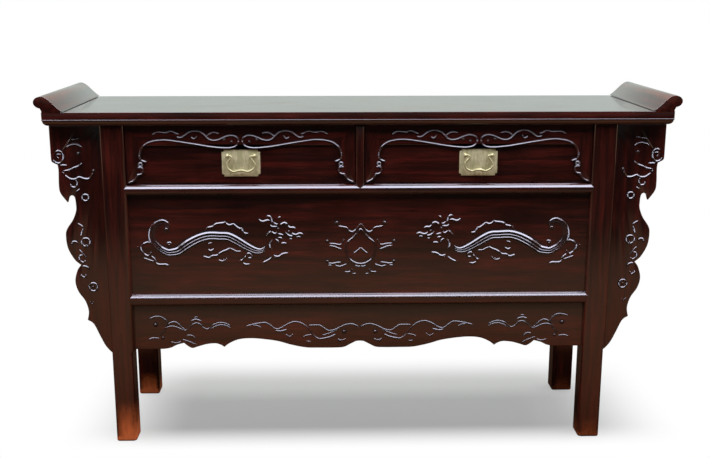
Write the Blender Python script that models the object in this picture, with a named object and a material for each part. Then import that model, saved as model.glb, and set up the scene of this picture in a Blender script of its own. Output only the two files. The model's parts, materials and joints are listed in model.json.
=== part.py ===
"""Two-drawer altar coffer: a long sideboard with upturned ends, a hidden compartment under its drawers,
shaped spandrels outside its legs and drop handles on brass plates.

Metres, +Z up, front towards -Y. The origin is on the floor, under the middle of the top.
Every piece is a separate solid. Pieces that touch keep GAP between them.
"""

import math

import bmesh
import bpy

# Clearances
GAP = 0.0003
DRAWER_SIDE_GAP = 0.0015
DRAWER_TOP_GAP = 0.002
DRAWER_FOOT_GAP = 0.001

# Top board and its upturned ends
TOP_LENGTH = 1.536
TOP_DEPTH = 0.400
TOP_HEIGHT = 0.860
TOP_THICK = 0.034
TOP_BAND = 0.0165
TOP_BAND_INSET = 0.0015
TOP_BEAD = 0.003
TOP_OVOLO = 0.016
FLANGE_FOOT = 0.050
FLANGE_REBATE = 0.003
FLANGE_RISE = 0.0385
SCROLL_RADIUS = 0.0145
SCROLL_OVERHANG = 0.0165
SWEEP_LEAN = 0.45
SWEEP_LIFT = 0.12
SWEEP_REACH = 1.25
BATTEN_WIDTH = 0.040
BATTEN_THICK = 0.020
BATTEN_FRONT_GAP = 0.004

# Legs
TOP_OVERHANG = 0.1345
LEG = 0.058
LEG_ROUND = 0.006
LEG_SETBACK = 0.012
FOOT_WEAR = 0.003
LEG_TENON = 0.024
LEG_TENON_LENGTH = 0.018

# Heights, stacked from the top board's underside down
DRAWER_SPACE = 0.145
RAIL_HEIGHT = 0.031
PANEL_SPACE = 0.2515
APRON_DROP = 0.1185
APRON_ARCH = 0.027

# Front rails, panel and apron
RAIL_SETBACK = 0.003
RAIL_DEPTH = 0.040
RAIL_ROUND = 0.010
PANEL_SETBACK = 0.014
PANEL_THICK = 0.012
TONGUE = 0.005
TENON_THICK = 0.010
TENON_SHOULDER = 0.007
TENON_WALL = 0.003
DIVIDER_WIDTH = 0.021
DIVIDER_DEPTH = 0.035
DIVIDER_ROUND = 0.007
DIVIDER_TENON_LENGTH = 0.010

# Side and back frames
FRAME_SETBACK = 0.008
FRAME_THICK = 0.024
UPPER_RAIL_HEIGHT = 0.040
FRAME_PANEL_THICK = 0.010
FLOOR_THICK = 0.012
FLOOR_UNDER_RAIL_TOP = 0.021

# Spandrels
SPANDREL_REACH = 0.127
SPANDREL_DROP = 0.590
SPANDREL_THICK = 0.014
SPANDREL_TONGUE = 0.008

# Drawers and their runners
DRAWER_SETBACK = 0.007
OVERLAY_THICK = 0.005
OVERLAY_HEAD = 0.055
OVERLAY_SIDE = 0.047
FRONT_THICK = 0.018
BOX_HEIGHT = 0.100
BOX_SIDE_THICK = 0.012
BOX_BOTTOM_THICK = 0.008
BOX_BOTTOM_LIFT = 0.006
BOX_GROOVE = 0.004
BOX_REAR_GAP = 0.016
SIDE_RUNNER_WIDTH = 0.038
CENTRE_RUNNER_WIDTH = 0.072
RUNNER_THICK = 0.024
GUIDE_HEIGHT = 0.036

# Brass handles
PLATE_WIDTH = 0.098
PLATE_HEIGHT = 0.068
PLATE_THICK = 0.0015
PLATE_NOTCH = 0.006
PLATE_RISE = 0.049
POST_SPREAD = 0.066
POST_ABOVE_PLATE_MIDDLE = 0.021
POST_REACH = 0.008
POST_HEAD = 0.0045
POST_FOOT = 0.0036
POST_SHANK = 0.002
POST_EYE = 0.0023
POST_TAIL = 0.014
POST_TAIL_THICK = 0.002
BAIL_WIRE = 0.002
BAIL_DROP = 0.0405
BAIL_SHOULDER = 0.009
BAIL_PIN_END = 0.0027

# Levels and planes that follow from the sizes above
TOP_UNDER = TOP_HEIGHT - TOP_THICK
FLANGE_OUT = TOP_LENGTH / 2 - TOP_BAND_INSET - GAP
FLANGE_IN = FLANGE_OUT - FLANGE_FOOT
FLANGE_SEAT = TOP_HEIGHT - FLANGE_REBATE
MID_RAIL_TOP = TOP_UNDER - DRAWER_SPACE
MID_RAIL_FOOT = MID_RAIL_TOP - RAIL_HEIGHT
LOW_RAIL_TOP = MID_RAIL_FOOT - PANEL_SPACE
LOW_RAIL_FOOT = LOW_RAIL_TOP - RAIL_HEIGHT
APRON_FOOT = LOW_RAIL_FOOT - APRON_DROP
LEG_OUT = TOP_LENGTH / 2 - TOP_OVERHANG
LEG_IN = LEG_OUT - LEG
LEG_FRONT = -TOP_DEPTH / 2 + LEG_SETBACK
LEG_BACK = LEG_FRONT + LEG
RAIL_FRONT = LEG_FRONT + RAIL_SETBACK
RAIL_REAR = RAIL_FRONT + RAIL_DEPTH
PANEL_FRONT = LEG_FRONT + PANEL_SETBACK
PANEL_REAR = PANEL_FRONT + PANEL_THICK
FRAME_OUT = LEG_OUT - FRAME_SETBACK
FRAME_IN = FRAME_OUT - FRAME_THICK
FRAME_MIDDLE = (FRAME_OUT + FRAME_IN) / 2
BACK_OUT = -LEG_FRONT - FRAME_SETBACK
BACK_IN = BACK_OUT - FRAME_THICK
BACK_MIDDLE = (BACK_OUT + BACK_IN) / 2
FRONT_TENON = LEG - FRAME_SETBACK - (FRAME_THICK + TENON_THICK) / 2 - TENON_WALL
SIDE_TENON = LEG - FRAME_SETBACK - (FRAME_THICK + TENON_THICK) / 2 - TENON_WALL
UPPER_RAIL_FOOT = TOP_UNDER - UPPER_RAIL_HEIGHT
FLOOR_TOP = LOW_RAIL_TOP - FLOOR_UNDER_RAIL_TOP + FLOOR_THICK
FLOOR_FOOT = LOW_RAIL_TOP - FLOOR_UNDER_RAIL_TOP
OVERLAY_FACE = LEG_FRONT + DRAWER_SETBACK
FIELD_FACE = OVERLAY_FACE + OVERLAY_THICK
FRONT_REAR = FIELD_FACE + FRONT_THICK
DRAWER_HALF = (LEG_IN - DIVIDER_WIDTH / 2) / 2 - DRAWER_SIDE_GAP
DRAWER_MIDDLE = (LEG_IN + DIVIDER_WIDTH / 2) / 2
DRAWER_FOOT = MID_RAIL_TOP + DRAWER_FOOT_GAP
DRAWER_HEAD = TOP_UNDER - DRAWER_TOP_GAP
BOX_FOOT = MID_RAIL_TOP + GAP
BOX_REAR = BACK_IN - BOX_REAR_GAP
PLATE_MIDDLE = MID_RAIL_TOP + PLATE_RISE
PIVOT_HEIGHT = PLATE_MIDDLE + POST_ABOVE_PLATE_MIDDLE
PLATE_REAR = FIELD_FACE - GAP
PLATE_FACE = PLATE_REAR - PLATE_THICK
PIVOT_FACE = PLATE_FACE - POST_REACH

# Counts that set how finely round stretches are drawn
CURVE_STEPS = 4
ARC_STEPS = 10
CORNER_STEPS = 3
ROUND_SIDES = 16
SHARP_EDGE = 35


# Flat outlines


def smooth(points, steps=CURVE_STEPS):
    """A Catmull-Rom curve through the points, from the first to the last."""
    ends = [points[0], *points, points[-1]]
    curve = [points[0]]
    for before, start, end, after in zip(ends, ends[1:], ends[2:], ends[3:]):
        for step in range(1, steps + 1):
            t = step / steps
            curve.append(tuple(spline(t, *four) for four in zip(before, start, end, after)))
    return curve


def spline(t, a, b, c, d):
    """One coordinate of the Catmull-Rom curve between b and c, with a before them and d after."""
    bend = (2 * a - 5 * b + 4 * c - d) * t**2 + (3 * b - a - 3 * c + d) * t**3
    return 0.5 * (2 * b + (c - a) * t + bend)


def stretches(*runs):
    """Smooth runs joined at corners: each run starts where the one before it ends."""
    outline = []
    for run in runs:
        outline += smooth(run)[:-1]
    return [*outline, runs[-1][-1]]


def arc(middle, radius, start, end, steps=ARC_STEPS):
    """Points on a circle, or on an ellipse where radius is a pair, from one angle in degrees to another."""
    wide, tall = radius if isinstance(radius, tuple) else (radius, radius)
    turns = [math.radians(start + (end - start) * i / steps) for i in range(steps + 1)]
    return [(middle[0] + wide * math.cos(a), middle[1] + tall * math.sin(a)) for a in turns]


def bezier(p0, p1, p2, p3, steps=ARC_STEPS):
    """Points on a cubic Bezier curve."""
    points = []
    for i in range(steps + 1):
        t = i / steps
        weights = ((1 - t) ** 3, 3 * t * (1 - t) ** 2, 3 * t**2 * (1 - t), t**3)
        points.append(tuple(sum(w * c for w, c in zip(weights, four)) for four in zip(p0, p1, p2, p3)))
    return points


def rectangle(low_a, high_a, low_b, high_b):
    return [(low_a, low_b), (high_a, low_b), (high_a, high_b), (low_a, high_b)]


def rounded(half, corner):
    """A square about the origin with round corners."""
    inner = half - corner
    spots = ((inner, inner, 0), (-inner, inner, 90), (-inner, -inner, 180), (inner, -inner, 270))
    return [p for a, b, turn in spots for p in arc((a, b), corner, turn, turn + 90, CORNER_STEPS)]


def mirrored(points):
    """The outline's other half, in reverse order, without the shared middle point."""
    return [(-a, b) for a, b in reversed(points) if abs(a) > 1e-9]


# Solids, as meshes in world coordinates


def shell(rings):
    """A closed mesh through loops with equal numbers of points, with both ends filled."""
    mesh = bmesh.new()
    loops = [[mesh.verts.new(point) for point in ring] for ring in rings]
    for first, second in zip(loops, loops[1:]):
        for i in range(len(first)):
            j = (i + 1) % len(first)
            mesh.faces.new((first[i], first[j], second[j], second[i]))
    mesh.faces.new(loops[0])
    mesh.faces.new(loops[-1])
    bmesh.ops.recalc_face_normals(mesh, faces=mesh.faces)
    return mesh


def prism(outline, low, high, along):
    """A flat outline carried along one axis. Its coordinates are the other two axes, in X, Y, Z order."""
    order = {"x": (2, 0, 1), "y": (0, 2, 1), "z": (0, 1, 2)}[along]
    ends = [[(a, b, level) for a, b in outline] for level in (low, high)]
    return shell([[tuple(point[i] for i in order) for point in end] for end in ends])


def block(x, y, z):
    """A box from three pairs of limits."""
    return prism(rectangle(*sorted(x), *sorted(y)), min(z), max(z), "z")


def pocket(x, y, z):
    """The hole that a box fits into, with GAP all round."""
    return block(*[(min(pair) - GAP, max(pair) + GAP) for pair in (x, y, z)])


def rod(radius, x, z, low, high):
    """A round bar along Y."""
    return prism(arc((x, z), radius, 0, 360, ROUND_SIDES)[:-1], low, high, "y")


def cross_rod(radius, y, z, low, high):
    """A round bar along X."""
    return prism(arc((y, z), radius, 0, 360, ROUND_SIDES)[:-1], low, high, "x")


# Scene objects


def finish(name, colour, roughness, metallic=0.0):
    """A plain material with one colour."""
    made = bpy.data.materials.new(name)
    made.use_nodes = True
    shader = made.node_tree.nodes["Principled BSDF"]
    shader.inputs["Base Color"].default_value = (*colour, 1.0)
    shader.inputs["Roughness"].default_value = roughness
    shader.inputs["Metallic"].default_value = metallic
    return made


def empty(name, spot, parent=None):
    """A named point that pieces hang from: a joint's axis or the carcass's origin."""
    made = bpy.data.objects.new(name, None)
    made.parent = parent
    made.location = [a - b for a, b in zip(spot, world_spot(parent))]
    bpy.context.scene.collection.objects.link(made)
    return made


def world_spot(thing):
    """Where an unturned empty lies in the world."""
    spot = (0.0, 0.0, 0.0)
    while thing is not None:
        spot = tuple(a + b for a, b in zip(spot, thing.location))
        thing = thing.parent
    return spot


def piece(name, mesh, coat, parent):
    """One named object, with its origin at its parent."""
    data = bpy.data.meshes.new(name)
    bmesh.ops.translate(mesh, verts=mesh.verts, vec=[-a for a in world_spot(parent)])
    mesh.to_mesh(data)
    mesh.free()
    data.materials.append(coat)
    made = bpy.data.objects.new(name, data)
    made.parent = parent
    bpy.context.scene.collection.objects.link(made)
    return made


def helper(thing, mesh, operation):
    """A hidden solid that a Boolean joins to a piece or cuts from it."""
    data = bpy.data.meshes.new("helper")
    mesh.to_mesh(data)
    mesh.free()
    tool = bpy.data.objects.new("helper", data)
    tool.hide_render = True
    tool.display_type = "WIRE"
    bpy.context.scene.collection.objects.link(tool)
    change = thing.modifiers.new(operation.lower(), "BOOLEAN")
    change.operation = operation
    change.object = tool


def join(thing, *meshes):
    for mesh in meshes:
        helper(thing, mesh, "UNION")


def cut(thing, *meshes):
    for mesh in meshes:
        helper(thing, mesh, "DIFFERENCE")


# Top


def make_top(wood, carcass):
    """The top board: a stack of inset rectangles, its moulded edge, and a rebate at each end for a flange."""
    band_foot = TOP_HEIGHT - TOP_BAND
    bead_middle = band_foot - TOP_BEAD / 2
    ovolo_top = band_foot - TOP_BEAD
    arris = TOP_BAND_INSET
    edge = [(2 * arris, TOP_HEIGHT), (arris, TOP_HEIGHT - arris), (arris, band_foot)]
    edge += arc((TOP_BEAD / 2, bead_middle), TOP_BEAD / 2, 130, 230, 3)
    edge += arc((TOP_OVOLO, ovolo_top), (TOP_OVOLO - arris, ovolo_top - TOP_UNDER), 180, 270, 6)
    rings = []
    for inset, height in edge:
        long, deep = TOP_LENGTH / 2 - inset, TOP_DEPTH / 2 - inset
        rings.append([(x, y, height) for x, y in rectangle(-long, long, -deep, deep)])
    top = piece("top_board", shell(rings), wood, carcass)
    for side, word in ((-1, "left"), (1, "right")):
        piece(f"end_flange_{word}", make_flange(side), wood, carcass)
        rebate = ((side * (FLANGE_IN - GAP), side * TOP_LENGTH), (-TOP_DEPTH, TOP_DEPTH))
        cut(top, block(*rebate, (FLANGE_SEAT, TOP_HEIGHT + FLANGE_REBATE)))
        middle = side * DRAWER_MIDDLE
        limits = (middle - BATTEN_WIDTH / 2, middle + BATTEN_WIDTH / 2)
        heights = (TOP_UNDER - GAP - BATTEN_THICK, TOP_UNDER - GAP)
        lengths = (FRONT_REAR + BATTEN_FRONT_GAP, BACK_IN - GAP)
        piece(f"top_batten_{word}", block(limits, lengths, heights), wood, carcass)
    return top


def make_flange(side):
    """An upturned end: a hollow sweep up from the top, rolled over into a scroll that overhangs the end."""
    crown = TOP_HEIGHT + FLANGE_RISE
    middle = (TOP_LENGTH / 2 + SCROLL_OVERHANG - SCROLL_RADIUS, crown - SCROLL_RADIUS)
    lean = (middle[0] - FLANGE_IN) * SWEEP_LEAN
    low_handle = (FLANGE_IN + lean, TOP_HEIGHT + FLANGE_RISE * SWEEP_LIFT)
    high_handle = (FLANGE_IN + SWEEP_REACH * lean, crown)
    sweep = bezier((FLANGE_IN, TOP_HEIGHT), low_handle, high_handle, (middle[0], crown))
    roll = arc(middle, SCROLL_RADIUS, 80, -75)
    seat = FLANGE_SEAT + GAP
    back = [(FLANGE_OUT, TOP_HEIGHT + SCROLL_RADIUS / 5), (FLANGE_OUT, seat)]
    outline = [(FLANGE_IN, seat), *sweep, *roll, *back]
    deep = TOP_DEPTH / 2 - TOP_BAND_INSET - GAP
    return prism([(side * x, z) for x, z in outline], -deep, deep, "y")


# Legs


def make_legs(wood, carcass, top):
    """Four square legs with round corners, each with a tenon into the top board."""
    legs = {}
    middle = LEG_OUT - LEG / 2
    depth = LEG_FRONT + LEG / 2
    shoulder = TOP_UNDER - GAP
    for across, side in ((-1, "left"), (1, "right")):
        for along, end in ((1, "front"), (-1, "back")):
            x, y = across * middle, along * depth
            body = rounded(LEG / 2, LEG_ROUND)
            worn = rounded(LEG / 2 - FOOT_WEAR, LEG_ROUND)
            tenon = rounded(LEG_TENON / 2, LEG_ROUND / 2)
            tip = TOP_UNDER + LEG_TENON_LENGTH
            stack = ((0, worn), (FOOT_WEAR, body), (shoulder, body), (shoulder, tenon), (tip, tenon))
            mesh = shell([[(x + a, y + b, z) for a, b in ring] for z, ring in stack])
            legs[side, end] = piece(f"leg_{end}_{side}", mesh, wood, carcass)
            half = LEG_TENON / 2
            cut(top, pocket((x - half, x + half), (y - half, y + half), (shoulder, tip)))
    return legs


# Front


def make_front_rail(name, foot, wood, carcass, legs):
    """A rail between the front legs with a half-round front and a tenon in each leg."""
    head = foot + RAIL_HEIGHT
    nose = arc((RAIL_FRONT + RAIL_ROUND, (foot + head) / 2), (RAIL_ROUND, RAIL_HEIGHT / 2), 90, 270)
    outline = [(RAIL_REAR, head), *nose, (RAIL_REAR, foot)]
    reach = LEG_IN - GAP
    rail = piece(name, prism(outline, -reach, reach, "x"), wood, carcass)
    middle = (RAIL_FRONT + RAIL_ROUND + RAIL_REAR) / 2
    depths = (middle - TENON_THICK / 2, middle + TENON_THICK / 2)
    heights = (foot + TENON_SHOULDER, head - TENON_SHOULDER)
    for side, word in ((-1, "left"), (1, "right")):
        ends = (side * reach, side * (LEG_IN + FRONT_TENON - GAP))
        join(rail, block((side * (reach - FRONT_TENON), ends[1]), depths, heights))
        cut(legs[word, "front"], pocket(ends, depths, heights))
    return rail


def make_front(wood, carcass, legs, top):
    """Two rails, the panel between them, the shaped apron below and the divider between the drawers."""
    mid_rail = make_front_rail("front_mid_rail", MID_RAIL_FOOT, wood, carcass, legs)
    low_rail = make_front_rail("front_lower_rail", LOW_RAIL_FOOT, wood, carcass, legs)
    front_legs = [legs["left", "front"], legs["right", "front"]]

    wide = LEG_IN + TONGUE - GAP
    depths = (PANEL_FRONT, PANEL_REAR)
    panel = ((-wide, wide), depths, (LOW_RAIL_TOP - TONGUE + GAP, MID_RAIL_FOOT + TONGUE - GAP))
    piece("front_panel", block(*panel), wood, carcass)
    for host in (mid_rail, low_rail, *front_legs):
        cut(host, pocket(*panel))

    half = apron_edge()
    head = LOW_RAIL_FOOT + TONGUE - GAP
    outline = [(wide, head), *half, *mirrored(half), (-wide, head)]
    piece("front_apron", prism(outline, *depths, "y"), wood, carcass)
    for host in (low_rail, *front_legs):
        cut(host, pocket((-wide, wide), depths, (APRON_FOOT, head)))

    make_divider(wood, carcass, top, mid_rail)
    return mid_rail, low_rail


def apron_edge():
    """The apron's lower edge from its end to the middle: a square end, a lobe, a cusp, a long ogee
    and a middle arch. Each point is a share of the half length and of the arch's height."""
    end = LEG_IN + TONGUE - GAP
    runs = (
        [(1.0, 0.0), (0.868, 0.0)],
        [(0.868, 0.0), (0.838, 0.11), (0.808, 0.41), (0.778, 0.59)],
        [(0.778, 0.59), (0.763, 0.30), (0.742, 0.07), (0.716, 0.22), (0.680, 0.44), (0.640, 0.52)]
        + [(0.616, 0.37), (0.600, 0.15)],
        [(0.600, 0.15), (0.578, 0.52), (0.538, 0.89), (0.490, 1.0), (0.435, 0.93), (0.364, 0.70)]
        + [(0.305, 0.33), (0.240, 0.04), (0.180, 0.0), (0.103, 0.0), (0.069, 0.07), (0.041, 0.37)]
        + [(0.017, 0.63), (0.0, 0.67)],
    )
    return [(a * end, APRON_FOOT + b * APRON_ARCH) for a, b in stretches(*runs)]


def make_divider(wood, carcass, top, mid_rail):
    """The upright between the drawers: half round, with a pointed shoulder let into the rail below it."""
    half = DIVIDER_WIDTH / 2
    foot, head = MID_RAIL_TOP + GAP, TOP_UNDER - GAP
    nose = arc((0, RAIL_FRONT + DIVIDER_ROUND), (half, DIVIDER_ROUND), 180, 360)
    outline = [(half, RAIL_FRONT + DIVIDER_DEPTH), (-half, RAIL_FRONT + DIVIDER_DEPTH), *nose]
    divider = piece("drawer_divider", prism(outline, foot, head, "z"), wood, carcass)
    width = (-half + TENON_WALL, half - TENON_WALL)
    middle = RAIL_FRONT + DIVIDER_DEPTH / 2 + DIVIDER_ROUND / 2
    depths = (middle - TENON_THICK / 2, middle + TENON_THICK / 2)
    upper = (head, head + DIVIDER_TENON_LENGTH)
    lower = (foot - DIVIDER_TENON_LENGTH, foot)
    join(divider, block(width, depths, (head - TENON_THICK, upper[1])))
    join(divider, block(width, depths, (lower[0], foot + TENON_THICK)))
    cut(top, pocket(width, depths, upper))
    cut(mid_rail, pocket(width, depths, lower))

    shoulder = (RAIL_FRONT + DIVIDER_ROUND / 2, RAIL_FRONT + RAIL_ROUND)
    join(divider, prism(pointed(half - GAP, foot, half), *shoulder, "y"))
    cut(mid_rail, prism(pointed(half + GAP, foot, half), RAIL_FRONT - GAP, shoulder[1] + GAP, "y"))


def pointed(half, foot, overlap):
    """An upright strip that ends in a right-angled point below its foot."""
    return [(-half, foot + overlap), (-half, foot), (0, foot - half), (half, foot), (half, foot + overlap)]


# Spandrels


def make_spandrels(wood, carcass, legs):
    """A shaped bracket board outside each leg, under the overhang of the top, with a tongue let into the leg.
    Each point is a share of the reach and of the drop."""
    runs = (
        [(1.0, 0.0), (1.0, 0.136)],
        [(1.0, 0.136), (0.984, 0.154), (0.882, 0.166)],
        [(0.882, 0.166), (0.870, 0.190), (0.882, 0.254), (0.858, 0.288), (0.732, 0.327)],
        [(0.732, 0.327), (0.701, 0.307), (0.646, 0.297), (0.591, 0.305), (0.575, 0.336), (0.583, 0.364)]
        + [(0.654, 0.402), (0.772, 0.439), (0.811, 0.468), (0.787, 0.525), (0.669, 0.576), (0.551, 0.600)],
        [(0.551, 0.600), (0.630, 0.624), (0.685, 0.671), (0.638, 0.717), (0.512, 0.761), (0.457, 0.807)]
        + [(0.488, 0.847)],
        [(0.488, 0.847), (0.370, 0.866), (0.260, 0.919), (0.157, 0.966), (0.047, 0.995), (0.0, 1.0)],
    )
    head = TOP_UNDER - GAP
    edge = [(LEG_OUT + GAP + a * SPANDREL_REACH, head - b * SPANDREL_DROP) for a, b in stretches(*runs)]
    root = LEG_OUT - SPANDREL_TONGUE + GAP
    outline = [*edge, (root, head - SPANDREL_DROP), (root, head)]
    middle = LEG_FRONT + LEG / 2
    for side, word in ((-1, "left"), (1, "right")):
        for along, end in ((1, "front"), (-1, "back")):
            depths = (along * middle - SPANDREL_THICK / 2, along * middle + SPANDREL_THICK / 2)
            mesh = prism([(side * x, z) for x, z in outline], *depths, "y")
            piece(f"spandrel_{end}_{word}", mesh, wood, carcass)
            tongue = (side * root, side * (LEG_OUT + GAP))
            cut(legs[word, end], pocket(tongue, depths, (head - SPANDREL_DROP, head)))


# Sides, back and compartment


def make_cross_rail(name, foot, head, ends, wood, carcass, legs):
    """A plain rail between the front and back legs of one side, with a tenon in each."""
    side = 1 if ends == "right" else -1
    reach = -LEG_BACK - GAP
    bar = block((side * FRAME_IN, side * FRAME_OUT), (-reach, reach), (foot, head))
    rail = piece(name, bar, wood, carcass)
    width = (side * FRAME_MIDDLE - TENON_THICK / 2, side * FRAME_MIDDLE + TENON_THICK / 2)
    heights = (foot + TENON_SHOULDER, head - TENON_SHOULDER)
    for along, end in ((-1, "front"), (1, "back")):
        lengths = (along * reach, along * (-LEG_BACK + SIDE_TENON - GAP))
        join(rail, block(width, (along * (reach - SIDE_TENON), lengths[1]), heights))
        cut(legs[ends, end], pocket(width, lengths, heights))
    return rail


def make_back_rail(name, foot, head, wood, carcass, legs):
    """A plain rail between the back legs, with a tenon in each."""
    reach = LEG_IN - GAP
    rail = piece(name, block((-reach, reach), (BACK_IN, BACK_OUT), (foot, head)), wood, carcass)
    depths = (BACK_MIDDLE - TENON_THICK / 2, BACK_MIDDLE + TENON_THICK / 2)
    heights = (foot + TENON_SHOULDER, head - TENON_SHOULDER)
    for side, word in ((-1, "left"), (1, "right")):
        ends = (side * reach, side * (LEG_IN + FRONT_TENON - GAP))
        join(rail, block((side * (reach - FRONT_TENON), ends[1]), depths, heights))
        cut(legs[word, "back"], pocket(ends, depths, heights))
    return rail


def make_side_frames(wood, carcass, legs):
    """On each side an upper and a lower rail with a plain panel in their grooves. Returns the lower rails."""
    lower = []
    for side, word in ((-1, "left"), (1, "right")):
        rest = (word, wood, carcass, legs)
        high = make_cross_rail(f"side_upper_rail_{word}", UPPER_RAIL_FOOT, TOP_UNDER - GAP, *rest)
        low = make_cross_rail(f"side_lower_rail_{word}", LOW_RAIL_FOOT, LOW_RAIL_TOP, *rest)
        half = FRAME_PANEL_THICK / 2
        width = (side * FRAME_MIDDLE - half, side * FRAME_MIDDLE + half)
        long = -LEG_BACK + TONGUE - GAP
        panel = (width, (-long, long), (LOW_RAIL_TOP - TONGUE + GAP, UPPER_RAIL_FOOT + TONGUE - GAP))
        piece(f"side_panel_{word}", block(*panel), wood, carcass)
        for host in (high, low, legs[word, "front"], legs[word, "back"]):
            cut(host, pocket(*panel))
        lower.append(low)
    return lower


def make_back_frame(wood, plain, carcass, legs):
    """Three rails across the back with a plain panel between each two. Returns the lower rail."""
    high = make_back_rail("back_upper_rail", UPPER_RAIL_FOOT, TOP_UNDER - GAP, wood, carcass, legs)
    middle = make_back_rail("back_mid_rail", MID_RAIL_FOOT, MID_RAIL_TOP, wood, carcass, legs)
    low = make_back_rail("back_lower_rail", LOW_RAIL_FOOT, LOW_RAIL_TOP, wood, carcass, legs)
    depths = (BACK_MIDDLE - FRAME_PANEL_THICK / 2, BACK_MIDDLE + FRAME_PANEL_THICK / 2)
    wide = LEG_IN + TONGUE - GAP
    for name, under, over in (("back_upper_panel", middle, high), ("back_lower_panel", low, middle)):
        foot, head = (MID_RAIL_TOP, UPPER_RAIL_FOOT) if over is high else (LOW_RAIL_TOP, MID_RAIL_FOOT)
        panel = ((-wide, wide), depths, (foot - TONGUE + GAP, head + TONGUE - GAP))
        piece(name, block(*panel), plain, carcass)
        for host in (under, over, legs["left", "back"], legs["right", "back"]):
            cut(host, pocket(*panel))
    return low


def make_floor(plain, carcass, rails):
    """The compartment's floor, let into the four lower rails and notched round the legs."""
    deep_front, deep_back = RAIL_REAR - TONGUE + GAP, BACK_IN + TONGUE - GAP
    wide, narrow = FRAME_IN + TONGUE - GAP, LEG_IN - GAP
    short = -LEG_BACK - GAP
    corner = [(narrow, deep_front), (narrow, -short), (wide, -short)]
    corner += [(wide, short), (narrow, short), (narrow, deep_back)]
    outline = corner + [(-x, y) for x, y in reversed(corner)]
    piece("compartment_floor", prism(outline, FLOOR_FOOT, FLOOR_TOP, "z"), plain, carcass)
    for rail in rails:
        cut(rail, pocket((-wide, wide), (deep_front, deep_back), (FLOOR_FOOT, FLOOR_TOP)))


def make_runners(plain, carcass):
    """Three runners between the front and back mid rails, and a guide that keeps the drawers apart."""
    lengths = (RAIL_REAR + GAP, BACK_IN - GAP)
    heights = (MID_RAIL_TOP - RUNNER_THICK, MID_RAIL_TOP)
    edge = LEG_IN - GAP
    for side, word in ((-1, "left"), (1, "right")):
        bar = block((side * (edge - SIDE_RUNNER_WIDTH), side * edge), lengths, heights)
        piece(f"drawer_runner_{word}", bar, plain, carcass)
    half = CENTRE_RUNNER_WIDTH / 2
    piece("drawer_runner_centre", block((-half, half), lengths, heights), plain, carcass)
    narrow = DIVIDER_WIDTH / 2 - GAP
    rises = (MID_RAIL_TOP + GAP, MID_RAIL_TOP + GUIDE_HEIGHT)
    piece("drawer_guide_centre", block((-narrow, narrow), lengths, rises), plain, carcass)


# Drawers


def make_drawer(word, side, wood, plain, brass, carcass):
    """A drawer with a carved front frame, a plain box and a drop handle."""
    middle = side * DRAWER_MIDDLE
    slide = empty(f"drawer_{word}_slide", (middle, FIELD_FACE, DRAWER_FOOT), carcass)
    limits = (middle - DRAWER_HALF, middle + DRAWER_HALF)
    board = block(limits, (FIELD_FACE, FRONT_REAR), (DRAWER_FOOT, DRAWER_HEAD))
    front = piece(f"drawer_{word}_front", board, wood, slide)
    make_overlay(word, middle, wood, slide)

    heights = (BOX_FOOT, BOX_FOOT + BOX_HEIGHT)
    lengths = (FRONT_REAR + GAP, BOX_REAR)
    walls = [front]
    for turn, hand in ((-1, "left"), (1, "right")):
        out = middle + turn * DRAWER_HALF
        wall = block((out, out - turn * BOX_SIDE_THICK), lengths, heights)
        walls.append(piece(f"drawer_{word}_side_{hand}", wall, plain, slide))
    inner = DRAWER_HALF - BOX_SIDE_THICK - GAP
    rear = block((middle - inner, middle + inner), (BOX_REAR - BOX_SIDE_THICK, BOX_REAR), heights)
    walls.append(piece(f"drawer_{word}_back", rear, plain, slide))
    wide = inner + GAP + BOX_GROOVE
    bottom = (
        (middle - wide, middle + wide),
        (FRONT_REAR - BOX_GROOVE, BOX_REAR - BOX_SIDE_THICK + BOX_GROOVE),
        (BOX_FOOT + BOX_BOTTOM_LIFT, BOX_FOOT + BOX_BOTTOM_LIFT + BOX_BOTTOM_THICK),
    )
    piece(f"drawer_{word}_bottom", block(*bottom), plain, slide)
    for wall in walls:
        cut(wall, pocket(*bottom))
    make_handle(word, middle, front, brass, slide)


def make_overlay(word, middle, wood, slide):
    """The raised frame on a drawer front: a cusped head strip and two side strips, mitred at 45 degrees.
    The head's points are shares of the distance from the middle to the mitre and of the strip's depth.
    The sides' points are shares of the strip's width and of the height up to the mitre."""
    inner, level = DRAWER_HALF - OVERLAY_SIDE, DRAWER_HEAD - OVERLAY_SIDE
    run = [(0.953, 0.745), (0.894, 0.655), (0.766, 0.619), (0.596, 0.728), (0.392, 0.873), (0.205, 0.973)]
    run += [(0.124, 1.0), (0.061, 0.928), (0.022, 0.745)]
    lower = smooth([(inner, level), *[(a * inner, DRAWER_HEAD - b * OVERLAY_HEAD) for a, b in run]])
    cusp = (0.0, DRAWER_HEAD - run[2][1] * OVERLAY_HEAD)
    head = [(DRAWER_HALF, DRAWER_HEAD), *lower, cusp]
    depths = (OVERLAY_FACE, FIELD_FACE - GAP)
    outline = [(middle + x, z) for x, z in head + mirrored(head)]
    piece(f"drawer_{word}_frame_head", prism(outline, *depths, "y"), wood, slide)

    runs = (
        [(0.128, 0.0), (0.426, 0.082), (0.660, 0.232), (0.830, 0.347)],
        [(0.830, 0.347), (0.723, 0.506), (0.766, 0.716), (0.830, 0.884), (1.0, 1.0)],
    )
    rise = level - GAP * math.sqrt(2) - DRAWER_FOOT
    strip = [(DRAWER_HALF - a * OVERLAY_SIDE, DRAWER_FOOT + b * rise) for a, b in stretches(*runs)]
    strip += [(DRAWER_HALF, DRAWER_HEAD - GAP * math.sqrt(2)), (DRAWER_HALF, DRAWER_FOOT)]
    for turn, hand in ((-1, "left"), (1, "right")):
        mesh = prism([(middle + turn * x, z) for x, z in strip], *depths, "y")
        piece(f"drawer_{word}_frame_{hand}", mesh, wood, slide)


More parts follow.
